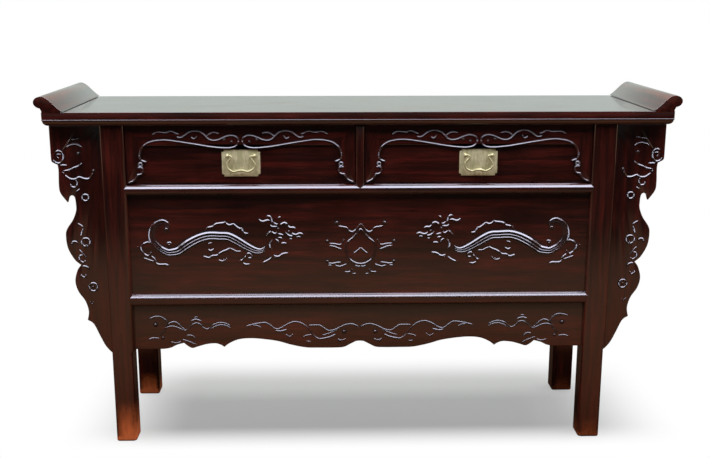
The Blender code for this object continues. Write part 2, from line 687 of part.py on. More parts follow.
def make_handle(word, middle, front, brass, slide):
    """A notched plate, two eyed posts clenched inside the drawer front, and a bail that swings in them."""
    half, tall, nick = PLATE_WIDTH / 2, PLATE_HEIGHT / 2, PLATE_NOTCH
    corner = [(half - nick, -tall), (half - nick, nick - tall), (half, nick - tall)]
    right = corner + [(x, -z) for x, z in reversed(corner)]
    outline = right + [(-x, z) for x, z in reversed(right)]
    mesh = prism([(middle + x, PLATE_MIDDLE + z) for x, z in outline], PLATE_FACE, PLATE_REAR, "y")
    plate = piece(f"handle_{word}_plate", mesh, brass, slide)
    for turn, hand in ((-1, "left"), (1, "right")):
        x = middle + turn * POST_SPREAD / 2
        make_post(f"handle_{word}_post_{hand}", x, brass, slide)
        for host in (plate, front):
            cut(host, rod(POST_SHANK + GAP, x, PIVOT_HEIGHT, PLATE_FACE - GAP, FRONT_REAR + GAP))
    make_bail(word, middle, brass, slide)


def make_post(name, x, brass, slide):
    """A round-headed post: ball head with an eye across it, shank through the front, clenched tail behind."""
    tail_face = FRONT_REAR + GAP
    tail_end = tail_face + POST_TAIL_THICK
    turns = [math.radians(degrees) for degrees in range(-80, 60, 20)]
    profile = [(PIVOT_FACE + POST_HEAD * math.sin(a), POST_HEAD * math.cos(a)) for a in turns]
    profile += [(PLATE_FACE - GAP, POST_FOOT), (PLATE_FACE - GAP, POST_SHANK), (tail_end, POST_SHANK)]
    rings = []
    for y, radius in profile:
        rings.append([(a, y, b) for a, b in arc((x, PIVOT_HEIGHT), radius, 0, 360, ROUND_SIDES)[:-1]])
    post = piece(name, shell(rings), brass, slide)
    wide, tall = POST_TAIL / 2, POST_SHANK / 2
    tail = block((x - wide, x + wide), (tail_face, tail_end), (PIVOT_HEIGHT - tall, PIVOT_HEIGHT + tall))
    join(post, tail)
    cut(post, cross_rod(POST_EYE, PIVOT_FACE, PIVOT_HEIGHT, x - 2 * POST_HEAD, x + 2 * POST_HEAD))


def make_bail(word, middle, brass, slide):
    """A bent wire: pins through the eyes, hooked shoulders, round cheeks and a waved grip. It hangs on the
    pins' axis. The bow's points are shares of half the posts' distance and of the drop."""
    pivot = empty(f"handle_{word}_pivot", (middle, PIVOT_FACE, PIVOT_HEIGHT), slide)
    reach = POST_SPREAD / 2
    bow = [(0.0, 0.91), (0.24, 0.94), (0.50, 1.0), (0.80, 0.91), (1.0, 0.73), (1.04, 0.52)]
    bow += [(0.93, 0.34), (0.80, 0.22), (0.715, 0.10)]
    route = [(a * reach, -b * BAIL_DROP) for a, b in bow]
    inside = reach - BAIL_SHOULDER
    route += [(inside, -BAIL_WIRE / 2), (inside + 1.5 * BAIL_WIRE, 0.0), (reach + BAIL_PIN_END, 0.0)]
    right = smooth(route)
    points = [(-x, z) for x, z in reversed(right[1:])] + right
    curve = bpy.data.curves.new(f"handle_{word}_bail", "CURVE")
    curve.dimensions = "3D"
    curve.bevel_depth = BAIL_WIRE
    curve.bevel_resolution = 2
    curve.use_fill_caps = True
    curve.materials.append(brass)
    line = curve.splines.new("POLY")
    line.points.add(len(points) - 1)
    for point, (x, z) in zip(line.points, points):
        point.co = (x, 0.0, z, 1.0)
    made = bpy.data.objects.new(f"handle_{word}_bail", curve)
    made.parent = pivot
    bpy.context.scene.collection.objects.link(made)


def smooth_round_pieces():
    """Round pieces are shaded smooth up to a sharp edge."""
    for thing in bpy.data.objects:
        if thing.type == "MESH" and not thing.hide_render:
            thing.data.shade_smooth()
            thing.data.set_sharp_from_angle(angle=math.radians(SHARP_EDGE))


def main():
    for thing in list(bpy.data.objects):
        bpy.data.objects.remove(thing, do_unlink=True)
    wood = finish("lacquered_rosewood", (0.040, 0.010, 0.007), 0.28)
    plain = finish("plain_inner_wood", (0.240, 0.130, 0.065), 0.65)
    brass = finish("aged_brass", (0.420, 0.360, 0.190), 0.40, 1.0)
    carcass = empty("carcass", (0.0, 0.0, 0.0))
    top = make_top(wood, carcass)
    legs = make_legs(wood, carcass, top)
    mid_rail, low_rail = make_front(wood, carcass, legs, top)
    make_spandrels(wood, carcass, legs)
    side_rails = make_side_frames(wood, carcass, legs)
    back_rail = make_back_frame(wood, plain, carcass, legs)
    make_floor(plain, carcass, [low_rail, back_rail, *side_rails])
    make_runners(plain, carcass)
    for word, side in (("left", -1), ("right", 1)):
        make_drawer(word, side, wood, plain, brass, carcass)
    smooth_round_pieces()


main()
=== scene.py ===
"""Dresses a two-drawer altar coffer: moulded top with rolled ends, rounded legs, bevelled rails, a carved
panel, apron, spandrels and drawer frames, brass drop handles, their materials, and a plain white studio.

Metres, +Z up, front towards -Y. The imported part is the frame, and every new piece rides on one of its
bodies. Carving is written in millimetres from a named origin on the face that it stands on.
"""

import json
import math

import bpy
import numpy as np
from mathutils import Matrix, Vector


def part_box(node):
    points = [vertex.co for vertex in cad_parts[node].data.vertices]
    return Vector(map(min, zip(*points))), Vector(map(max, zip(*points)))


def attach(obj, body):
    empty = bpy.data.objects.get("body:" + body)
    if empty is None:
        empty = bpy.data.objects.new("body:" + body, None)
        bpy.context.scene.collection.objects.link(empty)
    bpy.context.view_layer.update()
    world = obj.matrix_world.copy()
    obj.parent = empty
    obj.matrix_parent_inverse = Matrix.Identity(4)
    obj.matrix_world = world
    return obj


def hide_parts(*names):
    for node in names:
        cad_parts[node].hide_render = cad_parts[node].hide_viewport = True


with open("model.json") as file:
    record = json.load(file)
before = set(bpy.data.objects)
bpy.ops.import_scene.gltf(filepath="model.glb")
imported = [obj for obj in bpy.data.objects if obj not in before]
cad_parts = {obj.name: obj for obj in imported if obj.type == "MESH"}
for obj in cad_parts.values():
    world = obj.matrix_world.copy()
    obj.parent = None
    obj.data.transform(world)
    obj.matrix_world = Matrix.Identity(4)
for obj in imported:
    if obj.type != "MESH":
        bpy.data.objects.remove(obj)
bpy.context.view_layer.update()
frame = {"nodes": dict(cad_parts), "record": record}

bl_info = {
    "name": "Altar coffer dressing",
    "version": (1, 0, 0),
    "blender": (4, 5, 0),
    "location": "View3D > Sidebar > Coffer",
    "description": "Builds the visible surfaces, carving and finishes of a two-drawer altar coffer",
    "category": "Object",
}

MM = 0.001
SIDES = (("left", -1), ("right", 1))
BOTH_HANDS = (-1, 1)
WOOD = "lacquered_rosewood"
METAL = "aged_brass"

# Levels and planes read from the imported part
TOP_LOW, TOP_HIGH = np.array(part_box("top_board"))
TOP_UNDER, TOP_HEAD = TOP_LOW[2], TOP_HIGH[2]
LEG_LOW, LEG_HIGH = np.array(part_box("leg_front_right"))
LEG_IN, LEG_OUT, LEG_FRONT = LEG_LOW[0], LEG_HIGH[0], LEG_LOW[1]
MID_RAIL_LOW, MID_RAIL_HIGH = np.array(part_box("front_mid_rail"))
LOW_RAIL_LOW, LOW_RAIL_HIGH = np.array(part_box("front_lower_rail"))
RAIL_REAR = MID_RAIL_HIGH[1]
PANEL_LOW, PANEL_HIGH = np.array(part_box("front_panel"))
PANEL_FACE = PANEL_LOW[1]
APRON_LOW, APRON_HIGH = np.array(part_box("front_apron"))
DIVIDER_LOW, DIVIDER_HIGH = np.array(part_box("drawer_divider"))


def linear(shade):
    """A colour written as sRGB hex, turned to the linear values that colour sockets take."""
    parts = [int(shade[i : i + 2], 16) / 255 for i in (1, 3, 5)]
    return tuple(p / 12.92 if p <= 0.04045 else ((p + 0.055) / 1.055) ** 2.4 for p in parts)


def amount(name, description, default, **limits):
    """A number from 0 up that a user may change."""
    return bpy.props.FloatProperty(name=name, description=description, default=default, min=0.0, **limits)


def size(name, description, default):
    """A length that a user may change."""
    return amount(name, description, default, unit="LENGTH", precision=4)


def power(name, description, default):
    """A lamp's power that a user may change."""
    return amount(name, description, default, unit="POWER")


def colour(name, description, shade):
    """A colour that a user may change, with its default as sRGB hex."""
    words = {"name": name, "description": description, "subtype": "COLOR"}
    return bpy.props.FloatVectorProperty(**words, default=linear(shade), min=0.0, max=1.0)


class CofferSizes(bpy.types.PropertyGroup):
    """Sizes of the finishing work: rounds, bevels, beads and carving."""

    board_round: size("Board edge", "Quarter round on the front edge of shaped boards", 0.0022)
    strip_round: size("Drawer strip edge", "Quarter round on the drawer frames' strips", 0.0009)
    leg_round: size("Leg corner", "Round on the outer corners of the legs", 0.0050)
    leg_inner_round: size("Leg inner corner", "Round on the corner that meets rails and panel", 0.0085)
    foot_round: size("Foot wear", "Worn round at the bottom of each leg", 0.0045)
    top_bead: size("Top bead", "Radius of the bead under the top's band", 0.0021)
    rail_shoulder: size("Rail shoulder", "How far a rail's moulding runs onto the legs' corners", 0.0088)
    divider_round: size("Divider edge", "Round on the edges of the upright between the drawers", 0.0048)
    dragon_height: size("Dragon height", "How far the dragons' bodies stand out of the panel", 0.0044)
    line_rise: amount("Carved line rise", "Height of a carved line over half its width", 1.25, max=2.0)
    grip_radius: size("Bail grip", "Radius of the bails' wire at the middle of the grip", 0.0029)


class CofferColours(bpy.types.PropertyGroup):
    """Colours of the finishes."""

    wood_deep: colour("Wood, dark streaks", "Dark figure of the rosewood", "#1C0705")
    wood_body: colour("Wood, body", "Main colour of the lacquered rosewood", "#2B0C07")
    wood_red: colour("Wood, red streaks", "Red figure of the rosewood", "#3D100A")
    # Also paints a sheen along the crowns of the rolled ends
    wood_bare_and_sheen: colour("Wood, worn", "Bare wood where the lacquer is gone", "#C4622E")
    # Near black: painted shade at the foot of carved lines and in the dragons' grooves, and dust on the rails
    dust_and_shade_black: colour("Wax and dust", "Old wax and dust in the corners of the carving", "#070302")
    inner_pale: colour("Inner wood, pale", "Early growth of the planed softwood inside", "#8C6039")
    inner_dark: colour("Inner wood, dark", "Late growth of the planed softwood inside", "#6B4526")
    brass_pale: colour("Brass, rubbed", "Rubbed brass of plates and bails", "#D8CFA3")
    brass_dull: colour("Brass, patina", "Grey-green patina on the brass", "#A9A376")
    floor_pale: colour("Floor", "Pale studio floor", "#C0C0BE")
    floor_under: colour("Floor underneath", "Dark floor under the coffer, only in the gloss", "#3A2A20")
    floor_near: colour("Floor in front", "Brown floor in front of the coffer, only in the gloss", "#9C6144")
    floor_warm: colour("Floor further off", "Warm floor further in front, only in the gloss", "#AE896F")
    floor_far: colour("Floor far off", "Dark floor far in front, only in the gloss", "#303030")
    surround: colour("Surround", "Studio around the coffer, as the gloss shows it", "#C5CFCA")


class CofferStage(bpy.types.PropertyGroup):
    """Lamps of the studio."""

    soft_box: power("Soft box", "Power of the wide lamp in front, which leaves out the floor", 270.0)
    overhead: power("Overhead", "Power of the wide lamp straight above", 88.0)
    sides: power("Sides", "Power of each of the two tall lamps beside the coffer", 9.0)


# Paths and surfaces


def unit(rows):
    """Each row at length one."""
    return rows / np.linalg.norm(rows, axis=1, keepdims=True)


def sideways(ahead):
    """Each flat direction turned left by a right angle."""
    return np.stack([-ahead[:, 1], ahead[:, 0]], axis=1)


def through(points, steps=8, loop=False):
    """Catmull-Rom curve through the points. Between b and c, with a before and d after, a coordinate is half
    of 2b + (c - a)t + (2a - 5b + 4c - d)t^2 + (3b - a - 3c + d)t^3, for all spans and all t at once."""
    p = np.asarray(points, float)
    q = np.vstack([p[-1:], p, p[:2]]) if loop else np.vstack([p[:1], p, p[-1:]])
    t = np.linspace(0, 1, steps, endpoint=False)[None, :, None]
    a, b, c, d = (q[i : len(q) - 3 + i, None, :] for i in range(4))
    bend = (2 * a - 5 * b + 4 * c - d) * t**2 + (3 * b - a - 3 * c + d) * t**3
    curve = (0.5 * (2 * b + (c - a) * t + bend)).reshape(-1, p.shape[1])
    return curve if loop else np.vstack([curve, p[-1:]])


def runs_through(*runs):
    """Smooth runs joined at corners: each run starts where the one before it ends."""
    parts = [through(run, 6)[:-1] for run in runs]
    return np.vstack([*parts, runs[-1][-1:]])


def evenly(path, spacing):
    """The path respaced in equal steps of about the spacing, with how far along it each point lies: linear
    interpolation over the summed length of its chords."""
    run = np.concatenate([[0.0], np.cumsum(np.linalg.norm(np.diff(path, axis=0), axis=1))])
    marks = np.linspace(0, run[-1], max(int(run[-1] / spacing), 6) + 1)
    return np.stack([np.interp(marks, run, axis) for axis in path.T], axis=1), marks


def quarter(radius, steps=5):
    """A quarter round as pairs of inset and drop: radius times 1 - cos and 1 - sin of 0 to 90 degrees."""
    turn = np.radians(np.linspace(0, 90, steps))
    return np.stack([radius * (1 - np.cos(turn)), radius * (1 - np.sin(turn))], axis=1)


def arc(middle, wide, tall, start, end, steps=14):
    """Points on an ellipse: middle plus (wide cos, tall sin) from one angle in degrees to another."""
    turn = np.radians(np.linspace(start, end, steps + 1))
    return np.stack([middle[0] + wide * np.cos(turn), middle[1] + tall * np.sin(turn)], axis=1)


def mirrored(half):
    """A half outline from its middle outwards, with its mirror image in X before it."""
    half = np.asarray(half, float)
    return np.vstack([(half * (-1, 1))[:0:-1], half])


def skin(rings, loop=False):
    """A closed surface over rings with equal numbers of points: a quad between each two neighbours on each
    two neighbouring rings, wrapped round. The end rings are filled, or joined to each other in a loop. Faces
    are turned round if the volume that they enclose comes out negative."""
    points = rings.reshape(-1, 3)
    grid = np.arange(len(points)).reshape(rings.shape[:2])
    if loop:
        grid = np.vstack([grid, grid[:1]])
    side = np.roll(grid, -1, axis=1)
    quads = np.stack([grid[:-1], side[:-1], side[1:], grid[1:]], axis=-1).reshape(-1, 4)
    caps = [] if loop else [grid[0, ::-1], grid[-1]]
    a, b, c, d = (points[quads[:, i]] - points.mean(axis=0) for i in range(4))
    volume = np.sum(a * (np.cross(b, c) + np.cross(c, d)))
    for cap in caps:
        fan = points[cap] - points.mean(axis=0)
        volume += np.sum(fan[0] * np.cross(fan[1:-1], fan[2:]))
    if volume < 0:
        quads = quads[:, ::-1]
        caps = [cap[::-1] for cap in caps]
    return points, quads, caps


def stacked(flats, levels):
    """A closed surface over flat outlines in X and Y, each at its own level."""
    flats = np.stack(flats)
    height = np.broadcast_to(np.asarray(levels)[:, None, None], (*flats.shape[:2], 1))
    return skin(np.concatenate([flats, height], axis=2))


def outline_in(outline):
    """How each point of a closed flat outline moves for an inset of one: along the mitre of its two edges'
    inward normals, and at most 2.5 times as far at a sharp point. The outline runs anticlockwise."""
    normal = sideways(unit(np.roll(outline, -1, axis=0) - outline))
    before = np.roll(normal, 1, axis=0)
    mitre = (normal + before) / np.maximum(1 + np.sum(normal * before, axis=1, keepdims=True), 0.16)
    reach = np.linalg.norm(mitre, axis=1, keepdims=True)
    return mitre * np.minimum(1, 2.5 / np.maximum(reach, 1e-9))


def drawn_in(outline, distance):
    """The outline moved in by a distance along its mitres. Points that so come nearer than that to any part
    of the outline, at a cusp or in a tight hollow, are spread along the chord between the nearest points
    that don't."""
    moved = outline + distance * outline_in(outline)
    run = np.roll(outline, -1, axis=0) - outline
    away = moved[:, None] - outline[None]
    share = np.clip(np.sum(away * run, axis=2) / np.sum(run * run, axis=1), 0, 1)
    gap = np.linalg.norm(away - share[..., None] * run, axis=2).min(axis=1)
    good = np.flatnonzero(gap > 0.97 * distance - 1e-9)
    count = len(outline)
    spots = np.concatenate([good - count, good, good + count])
    marks = np.arange(count)
    return np.stack([np.interp(marks, spots, np.tile(axis, 3)) for axis in moved[good].T], axis=1)


def anticlockwise(outline):
    """The outline without doubled points, turned round if its area comes out negative."""
    flat = np.asarray(outline, float)
    flat = flat[np.linalg.norm(np.roll(flat, -1, axis=0) - flat, axis=1) > 1e-7]
    after = np.roll(flat, -1, axis=0)
    area = np.sum(flat[:, 0] * after[:, 1] - flat[:, 1] * after[:, 0])
    return flat if area > 0 else flat[::-1]


def board(outline, face, rear, edge, rear_edge=0.0006):
    """A flat board: its outline in X and Z carried along Y from the rear to the face, drawn in along a
    quarter round at each end."""
    flat = anticlockwise(outline)
    back, front = quarter(rear_edge)[::-1], quarter(edge)
    insets = np.concatenate([back[:, 0], front[:, 0]])
    levels = np.concatenate([rear - back[:, 1], face + front[:, 1]])
    spread = np.stack([drawn_in(flat, inset) for inset in insets])
    depth = np.broadcast_to(levels[:, None], spread.shape[:2])
    return skin(np.stack([spread[..., 0], depth, spread[..., 1]], axis=-1))


def corners_round(low, high, radii, steps=7, between=0):
    """A rectangle with a quarter round of its own radius at each corner, anticlockwise from the low corner,
    and with so many more points spread along each side."""
    spots = ((low[0], low[1], 180), (high[0], low[1], 270), (high[0], high[1], 0), (low[0], high[1], 90))
    parts = []
    for (x, y, turn), radius in zip(spots, radii):
        middle = (x + radius * (1 if x == low[0] else -1), y + radius * (1 if y == low[1] else -1))
        parts.append(arc(middle, radius, radius, turn, turn + 90, steps))
    ahead = [*parts[1:], parts[0]]
    t = np.linspace(0, 1, between + 2)[1:-1, None]
    sides = [here[-1] + (there[0] - here[-1]) * t for here, there in zip(parts, ahead)]
    return np.vstack([spots for pair in zip(parts, sides) for spots in pair])


def along_x(profile, ends):
    """A closed profile in Y and Z carried along X between two ends."""
    rings = [np.column_stack([np.full(len(profile), end), profile]) for end in ends]
    return skin(np.stack(rings))


def turned(profile, x, z, around=28):
    """A turned shape about a line along Y: each (y, radius) of the profile carried round a circle."""
    turn = np.linspace(0, 2 * np.pi, around, endpoint=False)
    deep, wide = np.asarray(profile, float).T[..., None]
    depth = np.repeat(deep, around, axis=1)
    return skin(np.stack([x + wide * np.cos(turn), depth, z + wide * np.sin(turn)], axis=-1))


def bent_wire(path, radius, depth, around=14):
    """A round wire bent in the plane of X and Z: a circle across the path, of a radius that may vary along
    it."""
    across = sideways(unit(np.gradient(path, axis=0)))
    turn = np.linspace(0, 2 * np.pi, around, endpoint=False)
    out = np.broadcast_to(radius, len(path))[:, None]
    flat = path[:, None] + (out * np.cos(turn))[..., None] * across[:, None]
    return skin(np.stack([flat[..., 0], depth + out * np.sin(turn), flat[..., 1]], axis=-1))


# Carving: each stroke is a closed surface, half sunk in the face that it stands on

# A dragon's ribs, from its lower edge to its upper one: share of half its width, of its height, and of
# painted shade, which darkens the groove floors between the ribs and the skirts at its edges
RIBS = [(-1.5, 0.0, 0.0), (-1.2, 0.03, 1.0), (-1.0, 0.03, 1.0), (-0.90, 0.66, 0.4), (-0.84, 0.70, 0.0)]
RIBS += [(-0.62, 0.26, 0.2), (-0.56, 0.22, 1.0), (-0.22, 0.22, 1.0), (-0.16, 0.56, 0.3), (-0.11, 0.60, 0.0)]
RIBS += [(0.07, 0.24, 0.2), (0.13, 0.20, 1.0), (0.50, 0.20, 1.0), (0.58, 0.66, 0.3), (0.64, 0.68, 0.0)]
RIBS += [(0.97, 0.04, 0.2), (1.05, 0.03, 1.0), (1.2, 0.03, 1.0), (1.5, 0.0, 0.0)]
BODY_STEP = 0.0016
BODY_END = 0.008
LINE_STEP = 0.0014
# Length over which a line draws in at its ends, over its half width
LINE_END = 2.6
# Least share of its width that a stroke keeps at its ends
END_SHARE = 0.004
# Gouge nicks, and how steep a line must be to have some: the sine of its angle, and the run to the full depth
NICK_PITCH = 0.0018
NICK_DEPTH = 0.65
UPRIGHT_FROM, UPRIGHT_RUN = 0.75, 0.2
# Height of the skirt beside a stroke, which carries painted shade, as a share of the stroke's
SKIRT = 0.04
# A boss: its height over its radius, the angles of its circles, and their shares of painted shade
BOSS_RISE = 0.7
BOSS_ANGLES = (12, 20, 38, 54, 68, 80, 88)
BOSS_SHADE = (0, 0, 1, 1, 0.4, 0, 0, 0, 0, 0, 0)
BOSS_AROUND = 16


class Carver:
    """Gathers carved strokes on one face, sunk into it by a depth. Points and widths are millimetres from an
    origin, rise is a stroke's height over its half width, slim a share of the tables' widths, and hand, 1 or
    -1, turns X round."""

    def __init__(self, face, origin, rise, slim, hand=1, sunk=0.0010):
        self.face = face
        self.origin = np.array(origin)
        self.rise = rise
        self.slim = slim
        self.hand = np.array([hand, 1])
        self.sunk = sunk
        self.shells = []
        self.shade_and_dust_share = []

    def place(self, points):
        """Millimetres on this hand as metres in X and Z."""
        return self.origin + np.asarray(points, float) * self.hand * MM

    def cut(self, lines, balls, rings=(), ring_wide=0.0, hands=()):
        """Cuts tables of strokes on each hand: lines as half width and points, rings and bosses as X, Z and
        radius."""
        for hand in hands or self.hand[:1]:
            self.hand = np.array([hand, 1])
            for wide, points in lines:
                self.line(points, self.slim * wide)
            for x, z, radius in rings:
                self.line(arc((x, z), radius, radius, 0, 330, 11), ring_wide, loop=True)
            for x, z, radius in balls:
                self.ball((x, z), radius)

    def line(self, points, wide, loop=False, nick=NICK_DEPTH):
        """A ridge, wide to each side, carried along a smooth path. It draws in to both ends with the
        distance to the power 0.7. Where it runs upright, gouge nicks break its top into small steps that face
        up: from each nick, its height falls evenly by the share nick."""
        high = wide * self.rise * MM
        wide = wide * MM
        path = through(self.place(points), loop=loop)
        if loop:
            path = np.vstack([path, path[:1]])
        across, up = np.abs(np.diff(path, axis=0)).sum(axis=0)
        # Four steps to a nick where it may have some
        spots, run = evenly(path, NICK_PITCH / 4 if up > 0.8 * across else LINE_STEP)
        if loop:
            spots, run = spots[:-1], run[:-1]
            ahead = np.roll(spots, -1, axis=0) - np.roll(spots, 1, axis=0)
            swell = np.ones(len(run))
        else:
            ahead = np.gradient(spots, axis=0)
            swell = np.clip(np.minimum(run, run[-1] - run) / (LINE_END * wide), END_SHARE, 1) ** 0.7
        ahead = unit(ahead)
        upright = np.clip((np.abs(ahead[:, 1]) - UPRIGHT_FROM) / UPRIGHT_RUN, 0, 1)
        fall = np.mod(np.sign(ahead[:, 1]) * run / NICK_PITCH, 1.0)
        high = high * swell * (1 - nick * upright * fall)
        self.carry(spots, ahead, wide * swell, high, self.ridge(ahead[:, 0], upright), loop)

    def ridge(self, level, upright):
        """A knife-cut ridge for each spot, as share across, share up and share of painted shade. Its crest
        lies at the share -0.55 of how level the line runs there, on the lower side. From it, the height falls
        to both edges with the share of the way there to the power 1.25, so the upper flank is long and the
        lower one steep. Where the line runs upright the power goes up to 6, for a flat top. A thin skirt to
        each side carries painted shade, nearly black, at the foot of the carved line. Two points under the
        face close it."""
        t = np.linspace(0, 1, 7)
        both = np.concatenate([t[:0:-1], t])
        crest = -0.55 * level[:, None]
        across = np.hstack([crest + (1 - crest) * t[:0:-1], crest - (1 + crest) * t])
        rise = np.maximum(1 - both ** (1.25 + 4.75 * upright[:, None]), SKIRT)
        ridge = np.stack([across, *np.broadcast_arrays(rise, both**6, across)[:2]], axis=-1)
        skirt = np.array([(1.9, 0.0, 0.0), (1.4, SKIRT, 1.0)])
        ends = [skirt, skirt[::-1] * (-1, 1, 1), np.array([(-0.8, -1.0, 0.0), (0.8, -1.0, 0.0)])]
        ends = [np.broadcast_to(part, (len(level), *part.shape)) for part in ends]
        return np.concatenate([ends[0], ridge, *ends[1:]], axis=1)

    def carry(self, spots, ahead, wide, high, section, loop=False):
        """The section of each spot, in shares of width and height, carried along the spots. Its part under
        the face only sinks in."""
        across = sideways(ahead)
        flat = spots[:, None] + (wide[:, None] * section[..., 0])[..., None] * across[:, None]
        rise = np.where(section[..., 1] > 0, high[:, None], self.sunk) * section[..., 1]
        rings = np.stack([flat[..., 0], self.face - rise, flat[..., 1]], axis=-1)
        self.shells.append(skin(rings, loop))
        self.shade_and_dust_share.append(section[..., 2].ravel())

    def ball(self, spot, radius):
        """A boss: circles that draw in with the cosine of an angle while they rise with its sine, in a thin
        skirt that carries painted shade, nearly black at its foot."""
        x, z = self.place(spot)
        high = BOSS_RISE * radius * self.rise * MM
        turn = np.radians(BOSS_ANGLES)
        rise = np.concatenate([[-self.sunk, 0, SKIRT * high, SKIRT * high], high * np.sin(turn)])
        out = np.concatenate([[0.8, 1.7, 1.35, 1.0], np.cos(turn)])
        profile = np.stack([self.face - rise, radius * MM * out], axis=1)
        self.shells.append(turned(profile, x, z, BOSS_AROUND))
        self.shade_and_dust_share.append(np.repeat(BOSS_SHADE, BOSS_AROUND))

    def body(self, points, widths, high):
        """A dragon's body: a section of three ribs carried along a smooth path that runs outwards. Its
        height runs straight between the points of RIBS and grows with the body's own width."""
        table = np.column_stack([self.place(points), np.asarray(widths, float) * MM])
        spots, run = evenly(through(table), BODY_STEP)
        section = np.vstack([RIBS[::-1], [(-0.85, -1.0, 0.0), (0.85, -1.0, 0.0)]]) * (self.hand[0], 1, 1)
        wide = spots[:, 2] * np.sqrt(np.clip(np.minimum(run, run[-1] - run) / BODY_END, END_SHARE, 1))
        ahead = unit(np.gradient(spots[:, :2], axis=0))
        section = np.broadcast_to(section, (len(spots), *section.shape))
        self.carry(spots[:, :2], ahead, wide, high * wide / wide.max(), section)


# Materials


def add(tree, kind, links=None, values=None, stops=(), **settings):
    """Adds a node with its settings, the values of its sockets and the links into them. A link comes from a
    socket or from a node's first output. A ramp's stops are its two ends, then those between them."""
    node = tree.nodes.new("ShaderNode" + kind)
    for key, value in settings.items():
        setattr(node, key, value)
    for key, value in (values or {}).items():
        node.inputs[key].default_value = value
    for key, source in (links or {}).items():
        tree.links.new(getattr(source, "outputs", [source])[0], node.inputs[key])
    for count, (position, shade) in enumerate(stops):
        marks = node.color_ramp.elements
        mark = marks[count] if count < 2 else marks.new(position)
        mark.position = position
        mark.color = (*shade, 1)
    return node


def new_tree(name):
    """A new material, its empty node tree, and its place in Object coordinates."""
    made = bpy.data.materials.new(name)
    made.use_nodes = True
    made.node_tree.nodes.clear()
    place = add(made.node_tree, "TexCoord").outputs["Object"]
    return made, made.node_tree, place


def per_metre(millimetres):
    """The scale at which a noise has about one swell in so many millimetres."""
    return 1000.0 / millimetres


def drawn_out(along, share):
    """Scales that draw a pattern out along one axis: a share there, and 1 across it."""
    return [share if axis == along else 1.0 for axis in "XYZ"]


def from_to(*ends):
    """Values of a range: its lower and upper end, and the results there."""
    return dict(enumerate(ends, 1))


def rosewood(along):
    """Lacquered rosewood with its grain along one axis. Rosewood gives dark and red streaks a finger wide,
    with fine dark pores; many thin coats of rubbed lacquer give a deep, nearly even gloss, rubbed through at
    the feet. The bare wood's colour also paints a sheen along the rolled ends, and near black paints shade
    beside the carving."""
    name = f"Lacquered rosewood, grain along {along}"
    if name in bpy.data.materials:
        return bpy.data.materials[name]
    shades = bpy.context.scene.coffer_colours
    made, tree, place = new_tree(name)
    # Figure: 12 mm across the grain and about 16 times as long
    fibre = add(tree, "Mapping", {"Vector": place}, {"Scale": drawn_out(along, 0.06)})
    sizes = {"Scale": per_metre(12), "Detail": 5.0, "Distortion": 0.35}
    figure = add(tree, "TexNoise", {"Vector": fibre}, sizes)
    stops = [(0.34, shades.wood_deep), (0.70, shades.wood_red), (0.50, shades.wood_body)]
    streaks = add(tree, "ValToRGB", {"Fac": figure}, stops=stops)
    # Pores: 0.3 mm in the real wood, drawn 2.4 mm wide so that they show
    fibre = add(tree, "Mapping", {"Vector": place}, {"Scale": drawn_out(along, 0.05)})
    pores = add(tree, "TexNoise", {"Vector": fibre}, {"Scale": per_metre(2.4), "Detail": 2.0})
    shade = add(tree, "MapRange", {"Value": pores}, from_to(0.35, 0.60, 0.62, 1.06))
    # Lacquer clouds: palm-sized patches, 90 mm
    clouds = add(tree, "TexNoise", {"Vector": place}, {"Scale": per_metre(90), "Detail": 3.0})
    cloud = add(tree, "MapRange", {"Value": clouds}, from_to(0.30, 0.70, 0.80, 1.22))
    depth = add(tree, "Math", {0: shade, 1: cloud}, operation="MULTIPLY")
    mixing = {"data_type": "RGBA", "blend_type": "MULTIPLY"}
    grain = add(tree, "Mix", {"A": streaks, "B": depth}, {"Factor": 1.0}, **mixing)
    # Rubbed patches: 9 mm wide and about 40 mm long
    # Shares of bare wood: rubbed through at the feet, and a painted sheen along the rolled ends
    wear_and_sheen = add(tree, "Attribute", attribute_name="wear_and_sheen").outputs["Fac"]
    fibre = add(tree, "Mapping", {"Vector": place}, {"Scale": drawn_out(along, 0.22)})
    rub = add(tree, "TexNoise", {"Vector": fibre}, {"Scale": per_metre(9), "Detail": 4.0})
    rub = add(tree, "MapRange", {"Value": rub}, from_to(0.30, 0.70, 0.65, 1.30))
    bare = add(tree, "Math", {0: wear_and_sheen, 1: rub}, operation="MULTIPLY", use_clamp=True)
    links = {"Factor": bare, "A": grain.outputs[2]}
    skin_shade = add(tree, "Mix", links, {"B": (*shades.wood_bare_and_sheen, 1)}, data_type="RGBA")
    # Painted shade, nearly black and dull, at the foot of each carved line and in the grooves between the
    # dragons' ribs; on the rails and over some carving it is dust
    shade_and_dust_share = add(tree, "Attribute", attribute_name="dust_and_painted_shade").outputs["Fac"]
    links = {"Factor": shade_and_dust_share, "A": skin_shade.outputs[2]}
    dirty = add(tree, "Mix", links, {"B": (*shades.dust_and_shade_black, 1)}, data_type="RGBA")
    gone = add(tree, "Math", {0: bare, 1: shade_and_dust_share}, operation="MAXIMUM")
    coat = add(tree, "Math", {1: gone}, {0: 1.0}, operation="SUBTRACT")
    gloss = add(tree, "MapRange", {"Value": clouds}, from_to(0.25, 0.75, 0.16, 0.24))
    rough = add(tree, "Math", {0: gone, 2: gloss}, {1: 0.34}, operation="MULTIPLY_ADD")
    relief = add(tree, "Bump", {"Height": pores}, {"Strength": 0.10, "Distance": 0.0004})
    links = {"Base Color": dirty.outputs[2], "Roughness": rough, "Normal": relief, "Coat Weight": coat}
    shader = add(tree, "BsdfPrincipled", links, {"IOR": 1.5, "Coat Roughness": 0.09, "Coat IOR": 1.5})
    add(tree, "OutputMaterial", {"Surface": shader})
    return made


